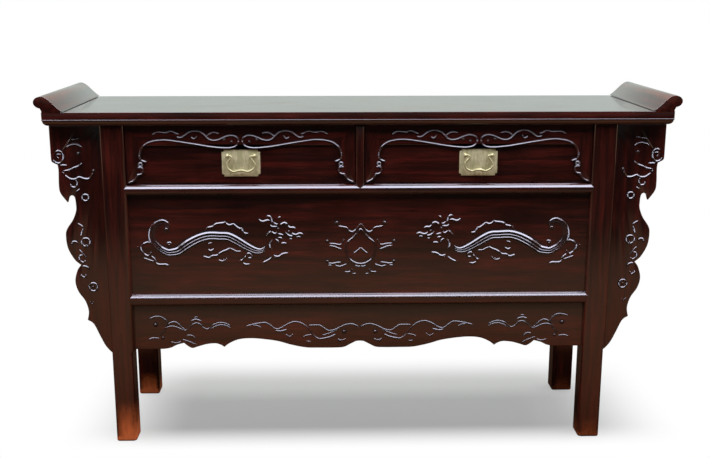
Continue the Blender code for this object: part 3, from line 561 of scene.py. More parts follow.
def softwood(along):
    """Planed softwood, left bare inside: growth bands 9 mm wide along the grain, a dry, matt surface."""
    name = f"Planed softwood, grain along {along}"
    if name in bpy.data.materials:
        return bpy.data.materials[name]
    shades = bpy.context.scene.coffer_colours
    made, tree, place = new_tree(name)
    fibre = add(tree, "Mapping", {"Vector": place}, {"Scale": drawn_out(along, 0.05)})
    sizes = {"Scale": per_metre(9), "Detail": 3.0, "Distortion": 0.3}
    bands = add(tree, "TexNoise", {"Vector": fibre}, sizes)
    stops = [(0.35, shades.inner_pale), (0.65, shades.inner_dark)]
    streaks = add(tree, "ValToRGB", {"Fac": bands}, stops=stops)
    # Plane marks: real ones are under 1 mm, drawn at 3 mm so that they show
    marks = add(tree, "TexNoise", {"Vector": fibre}, {"Scale": per_metre(3), "Detail": 2.0})
    dry = add(tree, "MapRange", {"Value": bands}, from_to(0.3, 0.7, 0.58, 0.72))
    relief = add(tree, "Bump", {"Height": marks}, {"Strength": 0.2, "Distance": 0.0004})
    links = {"Base Color": streaks, "Roughness": dry, "Normal": relief}
    shader = add(tree, "BsdfPrincipled", links, {"IOR": 1.5})
    add(tree, "OutputMaterial", {"Surface": shader})
    return made


def brass(name, patina, gloss, metallic):
    """Beaten sheet or bent wire of pale brass. Air dulls it grey-green, in streaks from wiping up and down,
    and small dents break its reflection. patina is the range of the streaks over which it dulls, and gloss
    its roughness from bright to dull. Half metal, since old wax lies over the patina."""
    if name in bpy.data.materials:
        return bpy.data.materials[name]
    shades = bpy.context.scene.coffer_colours
    made, tree, place = new_tree(name)
    # Wiping streaks: 5 mm across and some 20 mm long
    wipe = add(tree, "Mapping", {"Vector": place}, {"Scale": drawn_out("Z", 0.25)})
    streak = add(tree, "TexNoise", {"Vector": wipe}, {"Scale": per_metre(5), "Detail": 4.0})
    # Blotches: 18 mm
    blotch = add(tree, "TexNoise", {"Vector": place}, {"Scale": per_metre(18), "Detail": 3.0})
    mixed = add(tree, "Math", {0: streak, 1: blotch}, operation="ADD")
    dull = add(tree, "MapRange", {"Value": mixed}, from_to(*patina, 0.0, 1.0))
    stops = [(0.0, shades.brass_pale), (1.0, shades.brass_dull)]
    tint = add(tree, "ValToRGB", {"Fac": dull}, stops=stops)
    rough = add(tree, "MapRange", {"Value": dull}, from_to(0.0, 1.0, *gloss))
    # Dents: 7 mm
    dents = add(tree, "TexNoise", {"Vector": place}, {"Scale": per_metre(7), "Detail": 1.0})
    relief = add(tree, "Bump", {"Height": dents}, {"Strength": 0.25, "Distance": 0.0006})
    links = {"Base Color": tint, "Roughness": rough, "Normal": relief}
    shader = add(tree, "BsdfPrincipled", links, {"Metallic": metallic})
    add(tree, "OutputMaterial", {"Surface": shader})
    return made


# Pieces


def piece(name, shells, finish, stands_for=(), sharp=30, marks=None, body="carcass", slot=WOOD):
    """One object at the origin from closed surfaces, riding on a body. Edges sharper than the angle stay
    crisp. marks are named shares from 0 to 1 for each point: of bare wood, which on the rolled ends is a
    painted sheen, and of near black, dull lacquer, which beside the carving is painted shade and elsewhere
    is dust."""
    points, corners, counts, start = [], [], [], 0
    for spots, quads, caps in shells:
        points.append(spots)
        corners += [(quads + start).ravel(), *[cap + start for cap in caps]]
        counts += [np.full(len(quads), 4), np.array([len(cap) for cap in caps], int)]
        start += len(spots)
    points, corners, counts = np.vstack(points), np.concatenate(corners), np.concatenate(counts)
    mesh = bpy.data.meshes.new(name)
    mesh.vertices.add(len(points))
    mesh.vertices.foreach_set("co", points.astype(np.float32).ravel())
    mesh.loops.add(len(corners))
    mesh.loops.foreach_set("vertex_index", corners.astype(np.int32))
    mesh.polygons.add(len(counts))
    mesh.polygons.foreach_set("loop_start", (np.cumsum(counts) - counts).astype(np.int32))
    mesh.update(calc_edges=True)
    if mesh.validate():
        raise RuntimeError(f"{name}: its surface has faults")
    mesh.shade_smooth()
    mesh.set_sharp_from_angle(angle=math.radians(sharp))
    for key, values in (marks or {}).items():
        share = mesh.attributes.new(key, "FLOAT", "POINT")
        share.data.foreach_set("value", np.asarray(values, np.float32))
    mesh.materials.append(finish)
    made = bpy.data.objects.new(name, mesh)
    bpy.context.scene.collection.objects.link(made)
    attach(made, body)
    if stands_for:
        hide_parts(*stands_for)


def carved(name, carver, along, dull=0.0, body="carcass"):
    """The carver's strokes as one piece, with at least the share dull of near black, dull lacquer all over,
    as dust; its skirts and grooves carry painted shade.
    """
    marks = {"dust_and_painted_shade": np.maximum(np.concatenate(carver.shade_and_dust_share), dull)}
    piece(name, carver.shells, rosewood(along), sharp=28, marks=marks, body=body)


def dress(nodes, finish, soften=0.0):
    """Gives CAD nodes a finish, and where asked a small round on their edges by modifiers."""
    for name in nodes:
        thing = frame["nodes"][name]
        for holder in thing.material_slots:
            holder.material = finish
        if soften:
            weld = thing.modifiers.new("join triangles", "WELD")
            weld.merge_threshold = 0.00001
            bevel = thing.modifiers.new("eased edges", "BEVEL")
            bevel.width = soften
            bevel.segments = 2
            bevel.limit_method = "ANGLE"
            bevel.angle_limit = math.radians(40)
            bevel.harden_normals = True


class CofferMaker:
    """What the operators share."""

    bl_options = {"REGISTER", "UNDO"}

    def execute(self, context):
        self.make(context.scene.coffer_sizes)
        return {"FINISHED"}


# Top's edge: inset of the band, of the flat above it and of the ovolo's axis, then sizes
BAND_INSET = 0.0003
FLAT_INSET = 0.010
OVOLO_INSET = 0.017
OVOLO_REACH = 0.0155
BAND_HEIGHT = 0.0172
TOP_ARRIS = 0.0005
TOP_CORNER = 0.0022
LEAST_CORNER = 0.0006
# Rolled ends: half sizes of the roll, its angles, the sweep's foot over the top and its two handles
ROLL_WIDE, ROLL_TALL = 0.0190, 0.0145
ROLL_ANGLES = (84, -78)
SWEEP_FOOT = 0.0018
SWEEP_HANDLES = ((0.0200, 0.0127), (0.0165, 0.0))
ROLL_SUNK = 0.003
ROLL_ARRIS = 0.0008
# The joint under the sweep's thin edge, from the flange's inner end and the top's surface: the edge stands
# just off the top, so that it shows as a dark line. The heel under the roll, from the top's end and surface
ROLL_JOINT = [(0.0045, -ROLL_SUNK), (0.0040, 0.0012)]
ROLL_HEEL = [(-0.0018, 0.0029), (-0.0018, -ROLL_SUNK)]
END_GAP = 0.0001
# Painted sheen along the roll: its share of the bare wood's colour, and that band's distance under the crown
# and half width
ROLL_SHEEN = 0.05
SHEEN_DOWN, SHEEN_WIDE = 0.005, 0.006


class COFFER_OT_top(CofferMaker, bpy.types.Operator):
    """Top board with band, bead and ovolo, and the two ends that roll up and over"""

    bl_idname = "coffer.top"
    bl_label = "Top and rolled ends"

    def make(self, sizes):
        bead = sizes.top_bead
        band_foot = TOP_HEAD - BAND_HEIGHT
        ovolo_top = band_foot - 2 * bead
        # Edge as pairs of inset and height: arris, band, bead, quirk, ovolo
        edge = [(FLAT_INSET, TOP_HEAD)]
        edge += [(BAND_INSET + a, TOP_HEAD - b) for a, b in quarter(TOP_ARRIS)[::-1]]
        edge += [(BAND_INSET, band_foot)]
        edge += [*arc((bead, band_foot - bead), bead, bead, 105, 255, 8)]
        edge += [*arc((OVOLO_INSET, ovolo_top), OVOLO_REACH, ovolo_top - TOP_UNDER, 180, 270, 9)]
        flats = []
        for inset, _ in edge:
            corner = max(TOP_CORNER - inset / 4, LEAST_CORNER)
            flats.append(corners_round(TOP_LOW[:2] + inset, TOP_HIGH[:2] - inset, [corner] * 4, steps=4))
        shell = stacked(flats, [level for _, level in edge])
        piece("moulded_top", [shell], rosewood("X"), ["top_board"], sharp=24)
        for word, side in SIDES:
            self.rolled_end(word, side)

    def rolled_end(self, word, side):
        """A hollow sweep up from the top, as a cubic Bezier curve, rolled over into a scroll."""
        low, high = np.array(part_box("end_flange_right"))
        middle = np.array([high[0] - ROLL_WIDE, high[2] - ROLL_TALL])
        foot, crown = np.array([low[0], TOP_HEAD + SWEEP_FOOT]), np.array([middle[0], high[2]])
        a, b, c, d = foot, foot + SWEEP_HANDLES[0], crown - SWEEP_HANDLES[1], crown
        t = np.linspace(0, 1, 22)[:, None]
        sweep = (1 - t) ** 3 * a + 3 * t * (1 - t) ** 2 * b + 3 * t**2 * (1 - t) * c + t**3 * d
        roll = arc(middle, ROLL_WIDE, ROLL_TALL, *ROLL_ANGLES, 22)
        joint = np.array(ROLL_JOINT) + (low[0], TOP_HEAD)
        heel = np.array(ROLL_HEEL) + (TOP_HIGH[0], TOP_HEAD)
        flat = np.vstack([joint, sweep, roll, heel]) * (side, 1)
        shell = board(flat, TOP_LOW[1] + END_GAP, TOP_HIGH[1] - END_GAP, ROLL_ARRIS, ROLL_ARRIS)
        # Painted sheen: a red band along the roll, under the crown
        x, _, z = shell[0].T
        crest = np.exp(-(((z - crown[1] + SHEEN_DOWN) / SHEEN_WIDE) ** 2))
        marks = {"wear_and_sheen": ROLL_SHEEN * crest * (np.abs(x) < crown[0] + SHEEN_WIDE)}
        piece(f"rolled_end_{word}", [shell], rosewood("Y"), [f"end_flange_{word}"], sharp=24, marks=marks)


# For each leg: how much lacquer its foot has lost, how far up it is gone, how much is planed off its right
# side under the apron, and which corner meets the rails and panel, counted from the front left
LEGS = {
    "front_left": (1.30, 0.115, 0.0064, 1),
    "back_left": (1.80, 0.066, 0.0, 2),
    "front_right": (0.30, 0.06, 0.0034, 0),
    "back_right": (0.25, 0.05, 0.0, 3),
}
# Rings up a leg's shaft: the first over the foot's round, the last this far under and over the planed step
SHAFT_START = 1.6
SHAFT_RINGS = 24
STEP_UNDER, STEP_OVER = 0.006, 0.0005
# Wear on a leg's face: none nearer to a corner than the margin, full a run further in. At the foot it goes
# all round, and that ends at the hem's top, over the hem's height. Upwards it fades with a power
WEAR_MARGIN, WEAR_RUN, WEAR_INSIDE = 0.002, 0.014, 0.02
HEM_TOP, HEM_HEIGHT = 0.0192, 0.012
WEAR_FADE = 1.3


class COFFER_OT_legs(CofferMaker, bpy.types.Operator):
    """Four square legs with rounded corners and worn feet"""

    bl_idname = "coffer.legs"
    bl_label = "Legs"

    def make(self, sizes):
        step = APRON_LOW[2]
        draw = quarter(sizes.foot_round)[::-1]
        shaft = [*np.linspace(sizes.foot_round * SHAFT_START, step - STEP_UNDER, SHAFT_RINGS)]
        shaft += [step + STEP_OVER, TOP_UNDER]
        levels = np.concatenate([draw[:, 1], shaft])
        insets = np.concatenate([draw[:, 0], np.zeros(len(shaft))])
        for name, (lost, wear_top, planed, inner) in LEGS.items():
            low, high = np.array(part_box(f"leg_{name}"))
            radii = [sizes.leg_round] * 4
            radii[inner] = sizes.leg_inner_round
            flats = []
            for level, inset in zip(levels, insets):
                right = high[:2] - inset - (planed * (level < step), 0)
                flats.append(corners_round(low[:2] + inset, right, radii, between=7))
            shell = stacked(flats, levels)
            # Worn most at the bottom and, above it, in the middle of each face
            x, y, z = shell[0].T
            side = np.minimum(np.minimum(x - low[0], high[0] - x), WEAR_INSIDE)
            side = np.minimum(side + np.minimum(y - low[1], high[1] - y), WEAR_INSIDE)
            face = np.clip((side - WEAR_MARGIN) / WEAR_RUN, 0, 1)
            face = np.maximum(face, np.clip((HEM_TOP - z) / HEM_HEIGHT, 0, 1))
            wear_and_sheen = lost * np.clip(1 - z / wear_top, 0, 1) ** WEAR_FADE * face
            name, stands_for = f"rounded_leg_{name}", [f"leg_{name}"]
            piece(name, [shell], rosewood("Z"), stands_for, marks={"wear_and_sheen": wear_and_sheen})


# Facets on the rails' upper edges: how far back and how far down each starts and the last one ends
RAIL_FACETS = {
    "mid": [(0.0159, 0.0), (0.0089, 0.0026), (0.0040, 0.0058), (0.0, 0.0106)],
    "lower": [(0.0162, 0.0), (0.0086, 0.0020), (0.0033, 0.0052), (0.0, 0.0092)],
}
# A facet's bow over its length, the round under a rail, and the flat below the middle rail's face
FACET_BOW = 0.02
RAIL_UNDER = 0.0088
MID_RAIL_LIP = 0.0045
LEDGE_GAP = 0.0003
# Share by which hands and dust have dulled the rails' lacquer
RAIL_DULL = 0.25
# The mouldings stand nearly flush with the legs, so that their ends run out on the legs' round corners
RAIL_FACE = LEG_FRONT + 0.0004
DIVIDER_FACE = RAIL_FACE - 0.0003
# Depth of the divider's point over its half width
DIVIDER_POINT = 1.75


class COFFER_OT_rails(CofferMaker, bpy.types.Operator):
    """Middle and lower rail with a three-facet bevel over a flat face, and the divider of the drawers"""

    bl_idname = "coffer.rails"
    bl_label = "Rails and divider"

    def make(self, sizes):
        reach = LEG_IN + sizes.rail_shoulder
        rails = {"mid": (MID_RAIL_LOW, MID_RAIL_HIGH, MID_RAIL_LIP)}
        rails["lower"] = (LOW_RAIL_LOW, LOW_RAIL_HIGH, 0.0)
        for word, (low, high, lip) in rails.items():
            shell = along_x(self.section(low[2], high[2], lip, RAIL_FACETS[word]), (-reach, reach))
            marks = {"dust_and_painted_shade": np.full(len(shell[0]), RAIL_DULL)}
            name, stands_for = f"bevelled_{word}_rail", [f"front_{word}_rail"]
            piece(name, [shell], rosewood("X"), stands_for, sharp=11, marks=marks)
        half = (DIVIDER_HIGH[0] - DIVIDER_LOW[0]) / 2
        shoulder = MID_RAIL_HIGH[2]
        right = [(0, shoulder - DIVIDER_POINT * half), (half, shoulder), (half, TOP_UNDER)]
        shell = board(mirrored(right), DIVIDER_FACE, DIVIDER_HIGH[1], sizes.divider_round)
        piece("pointed_divider", [shell], rosewood("Z"), ["drawer_divider"], sharp=20)

    def section(self, foot, head, lip, facets):
        """A rail's section in Y and Z, from its upper rear edge: three facets, each steeper than the one
        before, the upright face, a round under edge, and a lip's height of flat over the panel below. Each
        facet is bowed by a part of its length."""
        marks = np.array(facets)
        parts = [[(RAIL_REAR, head)]]
        t = np.linspace(0, 1, 6)[:, None]
        for start, end in zip(marks, marks[1:]):
            run = end - start
            out = np.array([-run[1], run[0]]) * FACET_BOW
            bowed = start + t * run + 4 * t * (1 - t) * out
            parts.append(np.column_stack([RAIL_FACE + bowed[:, 0], head - bowed[:, 1]]))
        parts.append(quarter(RAIL_UNDER, 7) + (RAIL_FACE, foot + lip))
        ledge = PANEL_FACE - LEDGE_GAP
        parts.append([(ledge, foot + lip), (ledge, foot), (RAIL_REAR, foot)])
        flat = np.vstack(parts)
        return flat[np.linalg.norm(np.roll(flat, -1, axis=0) - flat, axis=1) > 1e-6]


# Carving of the panel, as half width and points, in millimetres from the middle of the part that shows,
# which lies a little over the board's own middle

CARVING_LIFT = 0.0047
CARVING_MIDDLE = (PANEL_LOW[2] + PANEL_HIGH[2]) / 2 + CARVING_LIFT
DRAGON_SPINE = [(238, -9), (241, -15), (249, -20), (259, -20), (270, -16), (285, -8), (301, 2), (316, 11)]
DRAGON_SPINE += [(332, 18), (352, 19), (368, 20), (384, 19), (404, 13), (426, 2), (441, -8), (457, -19)]
DRAGON_SPINE += [(470, -22), (480, -23), (490, -19), (500, -13), (509, -4), (516, 4), (520, 14), (520, 26)]
DRAGON_SPINE += [(517, 38), (510, 47), (501, 53), (493, 55), (485, 52), (480, 46), (483, 38)]
DRAGON_GIRTH = [2.5, 4.2, 5.8, 7.0, 7.9, 8.6, 9.4, 9.9, 9.8, 9.8, 9.8, 9.9, 10.0, 10.2, 9.8, 9.2, 8.5, 7.8]
DRAGON_GIRTH += [7.2, 6.8, 6.5, 6.4, 6.3, 6.2, 6.2, 6.2, 6.0, 5.6, 4.8, 4.0, 3.0]
DRAGON_FIN = (
    (1.8, [(389, 30), (382, 41)]),
    (2.6, [(382, 41), (375, 42), (368, 44), (360, 50), (349, 52), (341, 53), (337, 56)]),
    (2.6, [(338, 56), (333, 50), (325, 47), (316, 51)]),
    (2.6, [(317, 51), (310, 44), (301, 38), (295, 39)]),
    (2.6, [(296, 39), (293, 31), (289, 26), (280, 25)]),
)
DRAGON_HEAD = (
    (2.8, [(253, 62), (248, 57), (241, 56), (232, 59), (225, 57)]),
    (2.8, [(233, 70), (226, 69), (222, 64), (220, 57), (218, 50)]),
    (2.4, [(206, 62), (202, 66), (198, 68)]),
    (2.4, [(216, 54), (211, 49), (205, 49)]),
    (2.4, [(225, 47), (221, 43), (214, 42), (207, 43)]),
    (3.0, [(202, 45), (196, 49), (190, 52), (184, 50), (181, 45), (175, 40), (167, 40), (160, 36)]),
    (2.8, [(237, 15), (231, 23), (223, 31)]),
    (2.6, [(221, 30), (216, 25), (211, 25), (208, 29)]),
    (2.8, [(187, 28), (183, 23), (177, 19), (170, 18), (168, 22)]),
    (2.8, [(142, 22), (151, 25), (158, 22), (165, 22), (171, 26)]),
    (2.4, [(160, 15), (154, 16), (149, 15)]),
    (2.6, [(205, 24), (198, 22), (192, 20)]),
    (2.6, [(205, 14), (198, 13), (194, 9)]),
    (2.4, [(177, 11), (170, 10)]),
    (2.6, [(198, -1), (191, 0), (184, -1)]),
    (2.4, [(212, 10), (205, 4), (204, -3)]),
    (2.6, [(220, 8), (226, -3), (226, -11), (221, -18)]),
    (2.6, [(246, -51), (237, -47), (228, -42), (223, -37)]),
    (2.8, [(217, -32), (210, -35), (203, -34), (196, -29), (190, -27), (181, -26)]),
    (2.4, [(215, -36), (214, -42)]),
)
DRAGON_LIMBS = (
    (
        2.6,
        [(394, -33), (382, -37), (377, -36), (371, -32), (360, -31), (352, -25), (343, -20), (335, -17)]
        + [(326, -12)],
    ),
    (1.8, [(326, -13), (316, -18), (310, -21), (299, -21)]),
    (2.6, [(381, -15), (375, -19), (367, -14)]),
    (1.6, [(382, -1), (371, 2)]),
    (2.8, [(304, -47), (296, -43), (290, -37), (287, -31)]),
    (2.6, [(286, -31), (284, -28), (280, -26), (276, -28), (272, -34), (275, -38), (282, -38)]),
    (2.6, [(295, -51), (288, -55), (278, -54)]),
    (2.0, [(356, -43), (348, -46), (340, -44), (334, -38)]),
    (2.4, [(520, 1), (530, 4), (538, 2), (545, -2), (549, -9), (547, -19), (541, -26)]),
    (2.8, [(542, -25), (534, -31), (528, -28), (523, -22)]),
    (2.4, [(524, -32), (516, -40), (512, -48)]),
    (2.6, [(514, -48), (509, -53), (499, -54), (488, -54), (480, -59)]),
    (1.8, [(543, -37), (530, -42), (518, -46)]),
    (2.2, [(487, -3), (481, 2), (476, 3), (471, -1)]),
    (2.0, [(527, 16), (530, 8), (526, 2)]),
    (
        2.6,
        [(514, -7), (523, 2), (527, 14), (527, 27), (523, 40), (515, 50), (504, 57), (493, 60), (484, 57)]
        + [(476, 50)],
    ),
)
DRAGON_BALLS = ((178, 29, 3.2), (484, 36, 4.8), (479, -4, 3.4), (205, 36, 2.8), (343, -43, 2.2))
DRAGON_BALLS += ((557, -9, 1.8),)
DRAGON_SLIM = 0.70
PEARL_OFFSET = 0.002
PEARL_LINES = (
    (3.0, [(56, 43), (46, 41), (36, 39), (29, 31), (21, 28), (14, 32), (7, 40), (0, 49)]),
    (2.6, [(79, -2), (65, -3), (56, -5), (49, -4), (45, 2), (41, 9)]),
    (2.6, [(48, -17), (57, -14), (66, -10), (79, -8)]),
    (2.6, [(50, -51), (60, -52), (72, -54), (82, -53)]),
    (2.6, [(36, -56), (46, -60), (54, -62), (64, -59)]),
    (2.2, [(73, -59), (82, -59)]),
    (2.4, [(21, -68), (28, -76), (40, -76)]),
    (2.2, [(12, -81), (20, -81)]),
    (2.2, [(0, -61), (7, -62), (14, -59)]),
    (2.4, [(0, -13), (10, -22), (19, -29)]),
)
PEARL_SIDE = [(0, 35), (10, 24), (21, 12), (32, 3), (37, -7), (38, -17), (34, -31), (27, -43), (14, -52)]
PEARL_SIDE += [(0, -55)]
PEARL_DROP = [(-x, z) for x, z in PEARL_SIDE] + PEARL_SIDE[-2:0:-1]
PEARL_DROP_WIDE = 1.6
PEARL_BALLS = ((60, 51, 4.2), (84, 4, 3.4), (84, -49, 3.2))
PEARL_SLIM = 0.52
PEARL_DULL = 0.2


class COFFER_OT_panel(CofferMaker, bpy.types.Operator):
    """Front panel with two dragons and a flaming pearl, a traditional pattern"""

    bl_idname = "coffer.panel"
    bl_label = "Carved panel"

    def make(self, sizes):
        dress(["front_panel"], rosewood("X"))
        for word, side in SIDES:
            carver = Carver(PANEL_FACE, (0, CARVING_MIDDLE), sizes.line_rise, DRAGON_SLIM, side)
            carver.body(DRAGON_SPINE, DRAGON_GIRTH, sizes.dragon_height)
            carver.cut(DRAGON_FIN + DRAGON_HEAD + DRAGON_LIMBS, DRAGON_BALLS)
            carved(f"dragon_{word}", carver, "X")
        carver = Carver(PANEL_FACE, (PEARL_OFFSET, CARVING_MIDDLE), sizes.line_rise, PEARL_SLIM)
        carver.line(PEARL_DROP, PEARL_DROP_WIDE, loop=True, nick=0.0)
        carver.cut(PEARL_LINES, PEARL_BALLS, hands=BOTH_HANDS)
        carved("flaming_pearl", carver, "X", PEARL_DULL)


# Apron: shares of its half length and of the arch's height for the edge, millimetres from its foot for the
# vine

APRON_ARCH = 0.027
APRON_EDGE = (
    [(1.0, 0.0), (0.868, 0.0)],
    [(0.868, 0.0), (0.838, 0.11), (0.808, 0.41), (0.778, 0.59)],
    [(0.778, 0.59), (0.763, 0.30), (0.742, 0.07), (0.716, 0.22), (0.680, 0.44), (0.640, 0.52), (0.616, 0.37)]
    + [(0.600, 0.15)],
    [(0.600, 0.15), (0.578, 0.52), (0.538, 0.89), (0.490, 1.0), (0.435, 0.93), (0.364, 0.70), (0.305, 0.33)]
    + [(0.240, 0.04), (0.180, 0.0), (0.103, 0.0), (0.069, 0.07), (0.041, 0.37), (0.017, 0.63), (0.0, 0.67)],
)
APRON_LINES = (
    (
        2.3,
        [(1, 54), (9, 61), (21, 65), (37, 63), (50, 57), (62, 51), (72, 48), (82, 48), (92, 55), (104, 62)]
        + [(131, 62)],
    ),
    (
        2.3,
        [(86, 27), (98, 25), (110, 28), (121, 38), (129, 50), (140, 62), (154, 70), (168, 72), (183, 67)]
        + [(198, 58)],
    ),
    (2.3, [(196, 59), (209, 53), (219, 55), (229, 63), (241, 70), (256, 69), (272, 66), (291, 61)]),
    (2.0, [(277, 63), (263, 62), (252, 57)]),
    (3.0, [(216, 49), (203, 47), (187, 51)]),
    (2.2, [(190, 38), (181, 32), (171, 39)]),
    (2.0, [(58, 50), (70, 44), (82, 39), (96, 35)]),
    (3.2, [(100, 25), (86, 28), (75, 31), (63, 37)]),
    (2.0, [(147, 30), (136, 35), (124, 37)]),
    (1.8, [(137, 19), (126, 18)]),
    (2.0, [(36, 25), (47, 21), (57, 25)]),
    (
        2.4,
        [(538, 82), (524, 88), (509, 88), (499, 82), (493, 74), (492, 66), (497, 54), (506, 44), (512, 36)],
    ),
    (2.4, [(496, 64), (485, 71), (474, 74), (464, 69), (455, 59), (446, 52)]),
    (
        2.3,
        [(499, 57), (485, 62), (472, 61), (458, 55), (448, 51), (440, 55), (431, 64), (420, 70), (410, 68)]
        + [(401, 59)],
    ),
    (2.3, [(402, 60), (393, 54), (385, 57), (374, 66), (358, 71), (344, 69), (331, 62)]),
    (2.0, [(386, 51), (370, 61), (355, 65), (340, 62), (330, 55)]),
    (3.0, [(433, 75), (419, 80), (404, 75)]),
    (1.8, [(423, 85), (414, 87)]),
    (2.2, [(543, 26), (530, 31), (514, 30)]),
    (2.2, [(443, 37), (431, 37), (421, 29)]),
    (2.2, [(419, 11), (434, 19), (454, 26)]),
    (2.0, [(484, 20), (470, 17), (458, 21)]),
)
APRON_BALLS = ((40, 44, 4.0), (522, 66, 4.2), (504, 31, 3.0), (184, 33, 2.4), (52, 19, 2.4))
APRON_SLIM = 0.48
APRON_DULL = 0.3


class COFFER_OT_apron(CofferMaker, bpy.types.Operator):
    """Apron under the lower rail, with a cusped edge and a carved vine"""

    bl_idname = "coffer.apron"
    bl_label = "Carved apron"

    def make(self, sizes):
        end, foot, head = APRON_HIGH[0], APRON_LOW[2], APRON_HIGH[2]
        half = runs_through(*APRON_EDGE) * (end, APRON_ARCH) + (0, foot)
        flat = np.vstack([[(end, head)], half, (half * (-1, 1))[-2::-1], [(-end, head)]])
        shell = board(flat, APRON_LOW[1], APRON_HIGH[1], sizes.board_round)
        piece("cusped_apron", [shell], rosewood("X"), ["front_apron"])
        carver = Carver(APRON_LOW[1], (0, foot), sizes.line_rise, APRON_SLIM)
        carver.cut(APRON_LINES, APRON_BALLS, hands=BOTH_HANDS)
        carved("apron_vine", carver, "X", APRON_DULL)


# Spandrels: shares of reach and drop for the edge, millimetres out from the leg and down from the head for
# the vine

SPANDREL_EDGE = (
    [(1.0, 0.0), (1.0, 0.136)],
    [(1.0, 0.136), (0.984, 0.154), (0.882, 0.166)],
    [(0.882, 0.166), (0.870, 0.190), (0.882, 0.254), (0.858, 0.288), (0.732, 0.327)],
    [(0.732, 0.327), (0.701, 0.307), (0.646, 0.297), (0.591, 0.305), (0.575, 0.336), (0.583, 0.364)]
    + [(0.654, 0.402), (0.772, 0.439), (0.811, 0.468), (0.787, 0.525), (0.669, 0.576), (0.551, 0.600)],
    [(0.551, 0.600), (0.630, 0.624), (0.685, 0.671), (0.638, 0.717), (0.512, 0.761), (0.457, 0.807)]
    + [(0.488, 0.847)],
    [(0.488, 0.847), (0.370, 0.866), (0.260, 0.919), (0.157, 0.966), (0.047, 0.995), (0.0, 1.0)],
)
SPANDREL_LINES = (
    (2.5, [(97, -62), (89, -52), (80, -40), (72, -27), (65, -14)]),
    (2.1, [(86, -47), (78, -36), (62, -34), (49, -30)]),
    (2.5, [(92, -57), (82, -50), (68, -46), (56, -49), (48, -57)]),
    (2.6, [(116, -66), (107, -62), (99, -67), (96, -77), (99, -87), (107, -93), (116, -91), (121, -84)]),
    (2.2, [(101, -72), (109, -71), (112, -77), (107, -82)]),
    (2.5, [(88, -99), (97, -98), (106, -98.5)]),
    (2.2, [(51, -93), (62, -101), (75, -106), (88, -117)]),
    (2.1, [(73, -104), (84, -110), (98, -113)]),
    (2.6, [(24, -114), (29, -124), (37, -132), (49, -132), (60, -128), (71, -133), (83, -132), (95, -123)]),
    (2.2, [(95, -123), (99, -117), (96, -111)]),
    (2.5, [(71, -134), (66, -144), (71, -153), (80, -152), (82, -145)]),
    (2.2, [(60, -158), (65, -161), (72, -165)]),
    (2.2, [(57, -256), (64, -250), (71, -246)]),
    (2.5, [(58, -258), (62, -268), (66, -281)]),
    (2.5, [(73, -300), (79, -292), (88, -294), (87, -302)]),
    (2.2, [(54, -337), (62, -325), (72, -313)]),
    (2.5, [(64, -327), (72, -330), (72, -340), (64, -346), (57, -341)]),
    (2.6, [(49, -368), (53, -360), (61, -356), (68, -358)]),
    (2.5, [(57, -376), (62, -385), (69, -382), (71, -376)]),
    (2.2, [(43, -450), (48, -455), (53, -449)]),
)
SPANDREL_RINGS = ((48, -180, 8.0), (54, -294, 10.5), (42, -411, 10.5))
SPANDREL_BALLS = ((59, -70, 3.6), (24, -113, 3.4), (53, -303, 2.8), (42, -411, 2.8))
SPANDREL_SLIM = 0.68
SPANDREL_RING_WIDE = 1.7
# How far a spandrel's inner edge is let into the leg
SPANDREL_TENON = 0.006


class COFFER_OT_spandrels(CofferMaker, bpy.types.Operator):
    """Shaped spandrels outside the legs, the front ones carved"""

    bl_idname = "coffer.spandrels"
    bl_label = "Spandrels"

    def make(self, sizes):
        for word, side in SIDES:
            for end in ("front", "back"):
                name = f"spandrel_{end}_{word}"
                low, high = np.array(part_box(name))
                head, drop = high[2], high[2] - low[2]
                reach = max(abs(low[0]), abs(high[0])) - LEG_OUT
                edge = runs_through(*SPANDREL_EDGE) * (reach, -drop) + (LEG_OUT, head)
                inner = LEG_OUT - SPANDREL_TENON
                flat = np.vstack([edge, [(inner, head - drop), (inner, head)]]) * (side, 1)
                shell = board(flat, low[1], high[1], sizes.board_round, sizes.board_round)
                piece(f"shaped_{name}", [shell], rosewood("Z"), [name])
            low, high = np.array(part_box(f"spandrel_front_{word}"))
            carver = Carver(low[1], (side * LEG_OUT, high[2]), sizes.line_rise, SPANDREL_SLIM, side)
            carver.cut(SPANDREL_LINES, SPANDREL_BALLS, SPANDREL_RINGS, SPANDREL_RING_WIDE)
            carved(f"spandrel_vine_{word}", carver, "Z")


# Drawer frames: shares of strip sizes for the edges, millimetres from the middle of the drawer's head for
# the lines

STRIP_SIDE = 0.047
STRIP_HEAD = 0.055
HEAD_EDGE = [(0.953, 0.745), (0.894, 0.655), (0.766, 0.619), (0.596, 0.728), (0.392, 0.873), (0.205, 0.973)]
HEAD_EDGE += [(0.124, 1.0), (0.061, 0.928), (0.022, 0.745)]
HEAD_CUSP = 0.619
SIDE_EDGE = (
    [(0.128, 0.0), (0.426, 0.082), (0.660, 0.232), (0.830, 0.347)],
    [(0.830, 0.347), (0.723, 0.506), (0.766, 0.716), (0.830, 0.884), (1.0, 1.0)],
)
BRACKET_LINE = [(243, -84), (247, -77), (247, -67), (241, -52), (228, -41), (210, -35), (183, -33)]
BRACKET_LINE += [(151, -37), (114, -43), (72, -50), (39, -53), (22, -52), (10, -47), (5, -39), (6, -30)]
BRACKET_LINE += [(13, -24), (23, -22), (34, -24), (46, -29), (56, -33), (68, -34), (78, -30), (86, -22)]
BRACKET_LINE += [(96, -14), (111, -11), (125, -14), (136, -22), (145, -27), (155, -25)]
